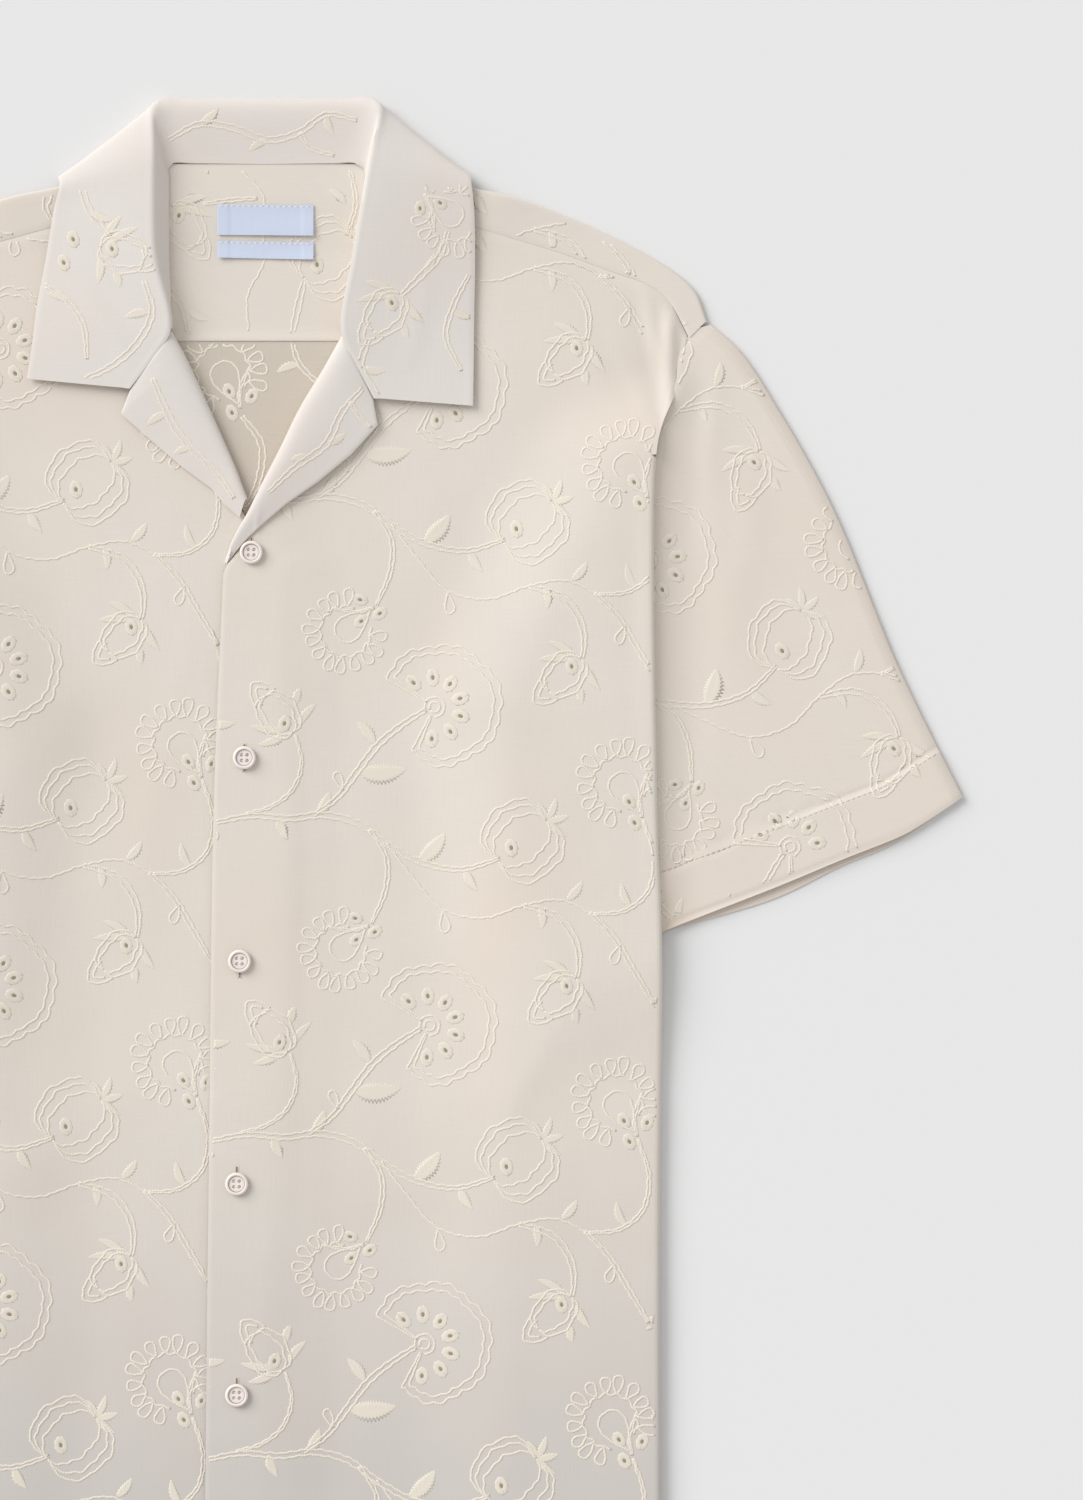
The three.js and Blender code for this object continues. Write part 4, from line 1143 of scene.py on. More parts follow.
@dataclass
class Yoke(Panel):
    """The yoke: flat behind the neck, folded over both shoulders to its seams with the fronts."""

    shoulder_columns: int = 64
    neck_columns: int = 26
    back_rows: int = 30
    fold_steps: int = 6
    strip_rows: int = 10
    over_back: float = 1.3  # how far its lower edge lies over the back
    seam_rise: tuple[float, float] = (0.6, 3.5)  # of the edge turned under it: height and width
    seam_dip: float = 0.3  # of the strip at its seam

    def turned_up(self, drop: Array) -> Array:
        """Height that the seam's turned edge adds, eased in over its last few millimetres."""
        height, width = self.seam_rise
        return height * smooth(drop, LIE.yoke_seam - width, LIE.yoke_seam)

    def lying(self, x: Array, drop: Array) -> Array:
        """Height of the face that lies on the surface."""
        return LIE.bed(x, drop) + LIE.rest + self.turned_up(drop)

    def face(self, x: Array, drop: Array) -> Array:
        """Height of the strip over the shoulder, facing up, dipped at its seam."""
        return LIE.front_bed(x, drop) + LIE.wall + EASE.height(x, drop)

    def grid(self) -> dict:
        """A column for each station from one armhole round the neck to the other: up the back,
        round the fold as a half ellipse, then down the strip.

        Returns:
            The shown face and the other arguments of shell().
        """
        bottom = LIE.yoke_seam + self.over_back
        rise = np.concatenate([[0, 0.006, 0.014, 0.024], np.linspace(0.04, 1, self.back_rows - 4)])
        parts = []
        for side in (-1, 1):
            table = shoulder_table(side)
            at = np.linspace(0, len(table) - 1, self.shoulder_columns)
            rows = spline(table, at)
            fold, seam = rows[:, :2], rows[:, 2:]
            run = unit(np.gradient(fold, axis=0))
            toward = -side * leftward(run)
            start = fold - toward * LIE.back_fold
            base_x = mix(fold[:, 0], seam[:, 0], 0.85)
            x = mix(base_x[:, None], start[:, :1], rise)
            drop = mix(bottom, start[:, 1:], rise)
            back = world(x, drop, self.lying(x, drop))
            strip_at = np.linspace(0, 1, self.strip_rows + 1)[1:]
            strip_x = mix(start[:, :1], seam[:, :1], strip_at)
            strip_drop = mix(start[:, 1:], seam[:, 1:], strip_at)
            dip = self.seam_dip * smooth(strip_at, 0.9, 1.0)
            strip = world(strip_x, strip_drop, self.face(strip_x, strip_drop) - dip)
            high = self.face(start[:, :1], start[:, 1:])
            turn = fold_turns(self.fold_steps)
            reach = LIE.back_fold * np.sin(turn)
            curl = world(
                start[:, :1] + toward[:, :1] * reach,
                start[:, 1:] + toward[:, 1:] * reach,
                fold_heights(back[:, -1, 2:], high, turn),
            )
            wing = np.concatenate([back, curl, strip], axis=1)
            parts.append(wing[::-1] if side < 0 else wing)
        x0, x1 = parts[0][-1, 0, 0], parts[1][0, 0, 0]
        top0, top1 = parts[0][-1, self.back_rows - 1, 0], parts[1][0, self.back_rows - 1, 0]
        share = np.linspace(0, 1, self.neck_columns + 2)[1:-1, None]
        x = mix(mix(x0, x1, share), mix(top0, top1, share), rise)
        drop = mix(bottom, LIE.neck_seam, rise)[None] + 0 * x
        neck = world(x, drop, self.lying(x, drop))
        pad = np.repeat(neck[:, -1:], self.fold_steps + 1 + self.strip_rows, axis=1)
        neck = np.concatenate([neck, pad], axis=1)
        points = np.concatenate([parts[0], neck, parts[1]])
        keep = all_cells(points)
        first = self.shoulder_columns - 1
        keep[first: first + self.neck_columns + 1, self.back_rows - 1:] = False
        return {"points": points, "wall": LIE.cloth, "keep": keep, "flip": True}

    def outline(self) -> Array:
        """Both strips over the shoulders, joined along the neck seam.

        Returns:
            Corners of the polygon, shape (N, 2).
        """
        strips = []
        for side in (1, -1):
            rows = shoulder_table(side)
            strip = np.concatenate([rows[:, :2] + [-side, 3], (rows[:, 2:] - [0, 1.2])[::-1]])
            strips.append(strip)
        return np.concatenate([strips[0], strips[0][:1], strips[1], strips[1][:1]])


@dataclass
class YokeInside(Yoke):
    """Plan of the yoke's wrong side, which shows in the neck, for its embroidery."""

    def face(self, x: Array, drop: Array) -> Array:
        """Height of the wrong side, facing up."""
        return LIE.on_rest(x, drop) + self.turned_up(drop)

    def outline(self) -> Array:
        """The part behind the neck opening."""
        return np.array([(-52, 37), (66, 37), (62, 122), (-54, 122)], float)


@dataclass
class Sleeve(Panel):
    """A sleeve laid flat: a tube with its under layer, its upper layer and a fold at each side."""

    side: Side = Side.LEFT
    across: int = 70
    fold_steps: int = 6
    lean: float = 3.0  # how far it rises against the body's side fold
    lean_reach: float = 20.0
    yoke_corner: tuple = ((236.5, 117), (226.2, 125.8))  # where it goes in under the yoke
    yoke_tuck: tuple[float, float, float] = (0.4, 0.3, 3.2)  # its depth there, and over what distance
    hem_groove: tuple[float, float, float] = (0.5, 0.9, 1.1)  # depth, place past the band, half width
    hem_turn: tuple[float, float] = (0.5, 2.0)  # how far the hem's edge turns down, and its width
    eased: float = 0.8  # share of the unevenness that it takes
    rows: tuple = (  # shares from the armhole to the hem
        0, 0.005, 0.011, 0.018, *np.linspace(0.03, 0.86, 43), *np.linspace(0.87, 0.93, 12),
        *np.linspace(0.94, 1, 10),
    )

    def face(self, x: Array, drop: Array) -> Array:
        """Upper layer's height, a little higher on the turned hem band.

        Args:
            x: x of the plan points.
            drop: their drop.

        Returns:
            Heights in millimetres.
        """
        plan = np.stack(np.broadcast_arrays(np.abs(x), drop), axis=-1)
        to_hem = distance_to(plan, SLEEVE_HEM_FRONT.line[::6])
        band = LIE.hem_step * smooth(to_hem, LIE.hem_band + 0.8, LIE.hem_band - 0.8)
        depth, place, half = self.hem_groove
        groove = depth * np.exp(-(((to_hem - LIE.hem_band - place) / half) ** 2))
        rounded = self.hem_turn[0] * (1 - smooth(to_hem, 0, self.hem_turn[1]))
        swell = smooth(to_hem, 0, 40) * EASE.height(x, drop)
        out = np.abs(x) - BODY_EDGE.x_at(drop)
        pressed = smooth(drop, 124, 160) * mix(0.45, 1.0, smooth(to_hem, 0, 25))
        lean = self.lean * ramp(out, self.lean_reach, 0) ** 2 * smooth(out, -12, -5) * pressed
        to_yoke = LIE.beside(np.abs(x), drop, *self.yoke_corner, (260, 180))
        depth, start, end = self.yoke_tuck
        tucked = depth * (1 - smooth(to_yoke, start, end)) * smooth(drop, 150, 132)
        return LIE.ply + LIE.wall + band - groove - rounded + self.eased * swell + lean - tucked

    def grid(self) -> dict:
        """Rows from the armhole to the hem; each row is a ring over the upper layer, round the
        underarm fold, back along the under layer and round the outer fold.

        Returns:
            The shown face and the other arguments of shell().
        """
        side = self.side.value
        v = np.array(self.rows)
        u = np.linspace(0.03, 0.97, self.across)
        outer, inner = SLEEVE_FOLD.along(v), UNDERARM.along(v)

        def layer(hem: Outline) -> Array:
            """Plan points of one layer between its four edges."""
            full = np.array([0, *u, 1])
            return coons(ARMHOLE.along(full), hem.along(full), outer, inner, full, v)[:, 1:-1]

        over, under = layer(SLEEVE_HEM_FRONT), layer(SLEEVE_HEM_BACK)
        inward = leftward(unit(np.gradient(ARMHOLE.along(u), axis=0)))
        over = over + (2.2 * (1 - ramp(v, 0, 0.011)))[:, None, None] * inward[None]
        high = self.face(side * over[..., 0], over[..., 1])
        low = np.full(high.shape, LIE.rest)
        run = unit(outer - inner)
        turn = fold_turns(self.fold_steps)[:, :-1]
        rings = []
        for tip, sign, top in ((inner, -1, high[:, -1:]), (outer, 1, high[:, :1])):
            toward = sign * run
            reach = LIE.back_fold * (np.sin(turn) - 1)
            plan = tip[:, None] + toward[:, None] * reach[..., None]
            rings.append(world(side * plan[..., 0], plan[..., 1], fold_heights(top, LIE.rest, turn)))
        points = np.concatenate([
            world(side * over[..., 0], over[..., 1], high), rings[0],
            world(side * under[:, ::-1, 0], under[:, ::-1, 1], low), rings[1][:, ::-1],
        ], axis=1)
        return {"points": points, "wall": LIE.cloth, "ring": True, "flip": side > 0}

    def outline(self) -> Array:
        """The part of the upper layer outside the body, from its fold to its hem.

        Returns:
            Corners of the polygon, shape (N, 2).
        """
        side = self.side.value
        edge_drops = np.linspace(128, 440, 40)
        edge = np.stack([BODY_EDGE.x_at(edge_drops) - 1, edge_drops], axis=-1)
        hem = SLEEVE_HEM_FRONT.line[::4] - [0.5, 1.4]
        fold = SLEEVE_FOLD.line[::4] + [-1.6, 1.2]
        polygon = np.concatenate([fold, hem[:-4], edge[::-1]])
        return polygon * [side, 1]


def resampled(lines: Array, shares: Array) -> Array:
    """Rows of points set again at shares of each row's own length, shape (R, len(shares), 3).

    Args:
        lines: the rows, shape (R, N, 3).
        shares: 0 to 1 along each row.

    Returns:
        Points in the same number of rows.
    """
    run = distance_run(lines)
    run = run / run[:, -1:]
    return np.stack([
        np.stack([np.interp(shares, at, line[:, k]) for k in range(3)], axis=-1)
        for at, line in zip(run, lines)
    ])


@dataclass
class Rolled(Panel):
    """A cloth that turns over at a roll line, as rows of smooth sections across it."""

    shown: Array = field(default_factory=lambda: np.zeros((2, 2, 3)))
    roll_column: int = 0
    spans: tuple = ((0, None),)  # rows of each leaf that embroidery may cover
    margin: float = 1.4

    def leaf(self, grid: Array) -> Array:
        """The turned-out part of a grid, from the roll to the edge."""
        return grid[:, self.roll_column:]

    def locate(self, plan: Array) -> tuple[Array, Array]:
        """Places over plan points, on the planes through the four nearest grid points, each
        weighted by the inverse of its squared distance.

        Args:
            plan: plan points, shape (N, 2).

        Returns:
            Places and unit normals, shape (N, 3) each.
        """
        grid = self.leaf(self.shown).reshape(-1, 3)
        normals = self.leaf(surface_normals(self.shown)).reshape(-1, 3)
        flat = world(plan[..., 0], plan[..., 1], 0.0).reshape(-1, 3)[:, :2]
        heights, ups = [], []
        for part in np.array_split(flat, max(len(flat) // 800, 1)):
            gap = ((part[:, None] - grid[None, :, :2]) ** 2).sum(axis=2)
            near = np.argpartition(gap, 4, axis=1)[:, :4]
            weight = 1 / (np.take_along_axis(gap, near, axis=1) + 0.05)
            weight = (weight / weight.sum(axis=1, keepdims=True))[..., None]
            step, up = part[:, None] - grid[near][..., :2], normals[near]
            rise = (up[..., :2] * step).sum(axis=2) / np.maximum(up[..., 2], 0.3)
            heights.append(((grid[near][..., 2] - rise)[..., None] * weight).sum(axis=1)[:, 0])
            ups.append(unit((up * weight).sum(axis=1)))
        places = np.column_stack([flat, np.concatenate(heights)])
        shape = (*plan.shape[:-1], 3)
        return places.reshape(shape), np.concatenate(ups).reshape(shape)

    def covers(self, plan: Array) -> Array:
        """Inside one of the leaves, a little in from its edges.

        Args:
            plan: plan points, shape (N, 2).

        Returns:
            A truth value for each point.
        """
        found = np.zeros(len(plan), bool)
        for start, end in self.spans:
            part = self.leaf(self.shown)[start:end, :, :2]
            line = np.concatenate([part[:, 0], part[::-1, -1], part[:1, 0]])
            line = np.stack([line[:, 0], LIE.length / 2 - line[:, 1]], axis=-1)
            found |= inside(plan, line) & (distance_to(plan, line[::2]) > self.margin)
        return found


@dataclass
class Lapel(Rolled):
    """A lapel, turned out from its front at the roll line."""

    side: Side = Side.LEFT
    table: tuple = ()  # columns: roll x, roll drop, edge x, edge drop, roll z, edge z
    tuck: float = 6.0
    wall: float = 0.9
    under_collar: float = 2.4  # how far its top edge goes on under the collar
    sunk: float = 0.75  # and how much lower it lies there
    edge_droop: tuple[float, float] = (0.1, 0.45)  # of its last two columns

    def grid(self) -> dict:
        """Sections from the tucked base up round the roll and out to the edge.

        Returns:
            The shown face and the other arguments of shell().
        """
        table = np.array(self.table, float)
        at = np.linspace(0, len(table) - 1, 12 * (len(table) - 1) + 1)
        rows = spline(table, at)
        for column in (2, 3, 5):  # the edge keeps its corners
            rows[:, column] = np.interp(at, np.arange(len(table)), table[:, column])
        roll, edge = rows[:, :2], rows[:, 2:4]
        length = np.linalg.norm(edge - roll, axis=1, keepdims=True)
        run = (edge - roll) / length
        bed = LIE.overlap_bed if self.side is Side.LEFT else LIE.front_bed
        tucked = roll + run * self.tuck
        base_z = (bed(tucked[:, 0], tucked[:, 1]) + LIE.wall)[:, None]
        roll_z, edge_z = rows[:, 4:5], rows[:, 5:6]
        base_z = np.minimum(base_z, roll_z - 0.4)
        half = np.maximum((roll_z - base_z) / 2, 0.1)

        def point(distance: Array, z: Array) -> Array:
            """A point out from the roll line at a height."""
            plan = roll + run * distance
            return world(plan[:, :1], plan[:, 1:], z)

        sections = np.stack([
            point(np.minimum(self.tuck, length * 0.8), base_z), point(LIE.wall + half, base_z),
            point(np.full_like(length, LIE.wall), base_z + half), point(LIE.wall + half, roll_z - 0.3),
            point(length, edge_z),
        ], axis=2)[:, 0]
        lines = spline(sections, np.linspace(0, 4, 97))
        ordered = lines if self.side is Side.LEFT else lines[::-1]
        under, over = ordered[:, :49], ordered[:, 48:]
        parts = [resampled(under, np.linspace(0, 1, 7))[:, :-1],
                 resampled(over, np.array([0, .02, .05, .09, .14, *np.linspace(.2, .95, 14), .975, 1]))]
        points = np.concatenate(parts, axis=1)
        points = points + surface_normals(points) * LIE.wall
        droop = np.zeros(points.shape[1])
        droop[-2:] = self.edge_droop
        points[..., 2] += EASE.height(points[..., 0], LIE.length / 2 - points[..., 1]) - droop
        top = points if self.side is Side.LEFT else points[::-1]
        above = unit((top[0] - top[5]) * [1, 1, 0])
        under = top[0] + above * self.under_collar - [0, 0, self.sunk]
        top = np.concatenate([[under], [mix(under, top[0], 0.5)], top])
        points = top if self.side is Side.LEFT else top[::-1]
        self.roll_column = 6
        self.shown = points
        return {"points": points, "wall": self.wall}


@dataclass
class Collar(Rolled):
    """The collar: stand, roll and fall, from one notch round the neck to the other."""

    reach: float = 4.0
    wall: float = 0.9
    stand_rows: tuple[int, int] = (2, 16)
    rows_each: int = 6
    stand_columns: int = 14
    foot_columns: int = 3  # from the stand's base down to the yoke
    off_floor: float = 0.2
    edge_droop: float = 0.35
    eased: float = 0.8  # share of the unevenness that it takes where it lies high
    foot_gap: float = 0.2  # from the stand's base to its foot, and from that to the yoke
    table: tuple = (
        # columns: base x, base drop, roll x, roll drop, edge x, edge drop, base z, roll z, edge z, gape
        (-60, 149, -64, 151, -117.5, 146, 5, 6.2, 5.4, 0),
        (-50, 135, -53, 136.4, -115, 130, 5, 7.6, 5, 0),
        (-44.5, 119.5, -42.7, 120, -112.5, 110, 4.6, 9.5, 4.6, -0.3),
        (-45, 84, -50.5, 83.5, -107.5, 84, 4, 11, 5.4, -0.4),
        (-45, 56, -51.5, 52, -103, 58, 4, 11.5, 7, -0.4),
        (-45, 42, -51.5, 26, -100, 46, 4, 11, 7.6, 0),
        (-45, 36, -52, 6, -100, 42, 3.4, 7.5, 4.4, 1.2),
        (-42, 33.6, -47, 1.6, -93, 46, 3, 4.6, 1.2, 1.9),
        (-30, 33.6, -33, 1.2, -50, 47, 2.4, 3.4, 1.1, 2),
        (5, 34, 6, 1.2, 7, 47, 2, 3.2, 1.1, 2),
        (40, 33.6, 47, 1.2, 64, 47, 2.4, 3.4, 1.1, 2),
        (53, 33.6, 61, 1.6, 104, 45, 3, 4.6, 1.2, 1.9),
        (58, 36, 66, 6, 111, 41, 3.4, 7.5, 4.4, 1.2),
        (59, 42, 62.5, 26, 113, 45, 4, 11, 7.6, 0),
        (60, 56, 58, 50.5, 114.5, 58, 4, 11.5, 7, -0.4),
        (57, 84, 52.3, 83.5, 115, 84, 4, 11, 5.4, -0.4),
        (51, 121, 46.5, 121.5, 114.5, 114, 4, 9.5, 4.6, -0.3),
        (55.5, 137.5, 54.5, 139.5, 114.3, 138, 5, 7.6, 5, 0),
        (64, 154, 63, 156, 114, 160, 5, 6.2, 5.4, 0),
    )

    def grid(self) -> dict:
        """Sections through base, roll and edge, with the gape lifting one side of the fold and
        lowering the other; rows between the table's stations by the same kind of curve.

        Returns:
            The shown face and the other arguments of shell().
        """
        table = np.array(self.table, float)
        rows = spline(table, np.linspace(0, len(table) - 1, self.rows_each * (len(table) - 1) + 1))
        base = world(rows[:, 0], rows[:, 1], rows[:, 6])
        roll = world(rows[:, 2], rows[:, 3], rows[:, 7])
        edge = world(rows[:, 4], rows[:, 5], rows[:, 8])
        lift = rows[:, 9:] * [0, 0, 1]
        to_base = np.minimum(self.reach / np.linalg.norm(base - roll, axis=1), 0.5)[:, None]
        to_edge = (self.reach / np.linalg.norm(edge - roll, axis=1))[:, None]
        above, below = mix(roll, base, to_base) + lift, mix(roll, edge, to_edge) - lift
        lines = spline(np.stack([base, above, roll, below, edge], axis=1), np.linspace(0, 4, 161))
        apart = unit((base - roll) * [1, 1, 0])
        floor = (LIE.on_rest(rows[:, 0], rows[:, 1]) + self.foot_gap)[:, None]
        foot = base + apart * self.foot_gap
        foot[:, 2:] = np.minimum(base[:, 2:], floor)
        down = mix(foot[:, None], base[:, None], np.linspace(0, 1, self.foot_columns + 1)[None, :-1, None])
        fall_at = np.array([0, .015, .03, .05, .075, .11, *np.linspace(.15, .95, 22), .975, 1])
        parts = [down, resampled(lines[:, :81], np.linspace(0, 1, self.stand_columns + 1))[:, :-1],
                 resampled(lines[:, 80:], fall_at)]
        points = np.concatenate(parts, axis=1)
        normals = surface_normals(points)
        points[..., 2] = np.maximum(points[..., 2], -normals[..., 2] * LIE.wall)
        points = points + surface_normals(points) * LIE.wall
        settled = smooth(points[..., 2], 3, 6)
        swell = EASE.height(points[..., 0], LIE.length / 2 - points[..., 1])
        points[..., 2] += self.eased * settled * swell
        self.roll_column = self.foot_columns + self.stand_columns
        points[:, -1, 2] -= self.edge_droop
        points[..., 2] = np.maximum(points[..., 2], self.off_floor)
        self.shown = points
        keep = all_cells(points)
        keep[: self.stand_rows[0] * self.rows_each, : self.roll_column] = False
        keep[self.stand_rows[1] * self.rows_each:, : self.roll_column] = False
        return {"points": points, "wall": self.wall, "keep": keep}


@dataclass
class Stand(Collar):
    """Plan of the collar's inner side behind the neck, for its embroidery."""

    def leaf(self, grid: Array) -> Array:
        """The part of a grid from the neck seam to the roll."""
        return grid[:, self.foot_columns: self.roll_column + 1]


@dataclass
class Label(Panel):
    """A bare woven label, sewn along its top edge, with its ends folded under."""

    slot: str = "label"
    x: float = 6.2
    drop: float = 63.2
    size: tuple[float, float] = (50.0, 16.0)
    tilt: float = 0.01
    wall: float = 0.4
    stands_off: tuple[float, float, float] = (0.3, 1.0, 1.1)  # lower edge: left, middle, right
    off_yoke: float = 0.2
    turned_end: float = 6.0  # width of the ends folded under
    end_rise: float = 0.25
    edge_droop: float = 0.15

    def shares(self, x: Array, drop: Array) -> tuple[Array, Array]:
        """Shares across and down the label, each from -0.5 to 0.5."""
        return (x - self.x) / self.size[0], (drop - self.drop - (x - self.x) * self.tilt) / self.size[1]

    def face(self, x: Array, drop: Array) -> Array:
        """Height over the yoke: flat at the top, lifting toward the lower edge, fuller at the ends.

        Args:
            x: x of the plan points.
            drop: their drop.

        Returns:
            Heights in millimetres.
        """
        u, v = self.shares(x, drop)
        lift = np.interp(u, (-0.5, 0.0, 0.5), self.stands_off) * smooth(v, -0.35, 0.55)
        fold = self.size[0] / 2 - self.turned_end
        ends = self.end_rise * smooth(np.abs(u) * self.size[0], fold - 0.5, fold + 0.5)
        return LIE.on_rest(x, drop) + self.off_yoke + self.wall + lift + ends

    def grid(self) -> dict:
        """Rows across the tape, close together at its edges to round them.

        Returns:
            The shown face and the other arguments of shell().
        """
        close = np.array([0.5, 0.497, 0.49])
        u = np.concatenate([-close, np.linspace(-0.475, 0.475, 48), close[::-1]])
        v = np.concatenate([-close, np.linspace(-0.46, 0.46, 20), close[::-1]])
        x = self.x + u[None] * self.size[0] - v[:, None] * self.size[1] * self.tilt
        drop = self.drop + v[:, None] * self.size[1] + u[None] * self.size[0] * self.tilt
        z = self.face(x, drop)
        z[:, [0, -1]] -= self.edge_droop
        z[[0, -1]] -= self.edge_droop
        ends = np.abs(u) * self.size[0] > self.size[0] / 2 - self.turned_end
        wall = np.where(ends, 1.5, 1.0) * self.wall
        return {"points": world(x, drop, z), "wall": np.broadcast_to(wall, x.shape)}

    def covers(self, plan: Array) -> Array:
        """Anywhere on the tape."""
        u, v = self.shares(plan[:, 0], plan[:, 1])
        return (np.abs(u) < 0.49) & (np.abs(v) < 0.49)


# ---- buttons --------------------------------------------------------------------------------------
@dataclass
class Button:
    """A four-hole button with a raised rim and a well, sewn on with two short bars of thread."""

    number: int
    x: float
    drop: float
    slit: tuple[float, float]  # the buttonhole's ends, as drops from the button's middle
    hole: float = 0.85
    hole_reach: float = 1.45
    hole_depth: float = 1.3
    well: float = 1.6
    off_cloth: float = 0.3
    thread_dip: float = 0.9  # how far the thread sinks into a hole
    sides: int = 72
    shaded_bands: tuple[int, ...] = (4, 5, 11, 12)  # bands of the profile in painted shade: the lower outer side, and the groove where the rim slopes into the well
    height: float = 0.0
    profile: tuple = (  # columns: radius, height, from the underside's middle round to the well
        (0.3, 0), (3.0, 0), (4.7, 0), (5.35, 0.12), (5.8, 0.5), (6.0, 1.1), (5.95, 1.6), (5.72, 2.08),
        (5.35, 2.4), (4.95, 2.48), (4.6, 2.4), (4.35, 2.15), (4.2, 1.72), (4.05, 1.5), (3.9, 1.58),
    )

    def to_hole(self, x: Array, drop: Array) -> Array:
        """Distance from the middle of the nearest hole."""
        return np.hypot(np.abs(x) - self.hole_reach, np.abs(drop) - self.hole_reach)

    def build(self, finishes: Finishes, under: Panel) -> None:
        """Turns the profile, sinks the four holes in the well and closes both middles.

        Args:
            finishes: the shirt's finishes.
            under: the cloth that it lies on.
        """
        self.height = float(under.face(np.array(self.x), np.array(self.drop))) + self.off_cloth
        well = np.column_stack([np.linspace(3.75, 0.3, 30), np.full(30, self.well)])
        profile = np.concatenate([np.array(self.profile), well])
        angle = np.linspace(0, 2 * math.pi, self.sides, endpoint=False)
        x, drop = profile[:, :1] * np.cos(angle), -profile[:, :1] * np.sin(angle)
        sunk = self.hole_depth * (1 - smooth(self.to_hole(x, drop), self.hole - 0.2, self.hole + 0.12))
        sunk[: len(self.profile)] = 0
        vertices = world(self.x + x, self.drop + drop, self.height + profile[:, 1:] - sunk).reshape(-1, 3)
        number = np.arange(len(vertices)).reshape(x.shape)
        a, b = number[:-1], number[1:]
        quads = np.stack([a, np.roll(a, -1, axis=1), np.roll(b, -1, axis=1), b], axis=-1).reshape(-1, 4)
        caps = [number[0][::-1].tolist(), number[-1].tolist()]
        row = np.repeat(np.arange(len(a)), self.sides)
        # the shaded bands take the finish of painted shade
        material = np.concatenate([np.isin(row, self.shaded_bands).astype(int), [0, 0]])
        materials = [finishes.button.material(), finishes.button_painted_shade.material()]
        thing = make_object(f"button_{self.number}_resin", vertices, quads.tolist() + caps,
                            vertices[:, :2] * MM, materials, 40, material)
        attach(thing, "root")
        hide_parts(f"button_{self.number}")
        LOG.info("button_%d: %d triangles", self.number, 2 * len(quads))

    def face(self, x: Array, drop: Array) -> Array:
        """Height of the thread over the well, sinking into the holes."""
        into = 1 - smooth(self.to_hole(x - self.x, drop - self.drop), 0.1, 0.85)
        return self.height + self.well - self.thread_dip * into

    locate = Panel.locate

    def covers(self, plan: Array) -> Array:
        """Anywhere on the button."""
        return np.ones(len(plan), bool)

    def bars(self) -> "Needlework":
        """Two bars of thread, each from hole to hole.

        Returns:
            The needlework, in plan millimetres.
        """
        work = Needlework()
        for across in (-self.hole_reach, self.hole_reach):
            ends = [(self.x + out, self.drop + across) for out in (-self.hole_reach, self.hole_reach)]
            work.lines.append(evenly(np.array(ends), 0.4))
        return work


# ---- the vine embroidery --------------------------------------------------------------------------
def turned(points: Array, degrees: float) -> Array:
    """Plan points turned about the origin, from +x toward +drop."""
    c, s = math.cos(math.radians(degrees)), math.sin(math.radians(degrees))
    return points @ np.array([[c, s], [-s, c]])


def beside_line(line: Array, distance: Array | float) -> Array:
    """A plan line moved sideways by a distance, along its own normals."""
    aside = leftward(unit(np.gradient(line, axis=0)))
    return line + aside * np.broadcast_to(distance, len(line))[:, None]


def round_about(radius: Array | float, degrees: Array | float) -> Array:
    """Plan points at distances and directions from the origin."""
    turn = np.radians(degrees)
    return np.stack([radius * np.cos(turn), radius * np.sin(turn)], axis=-1)


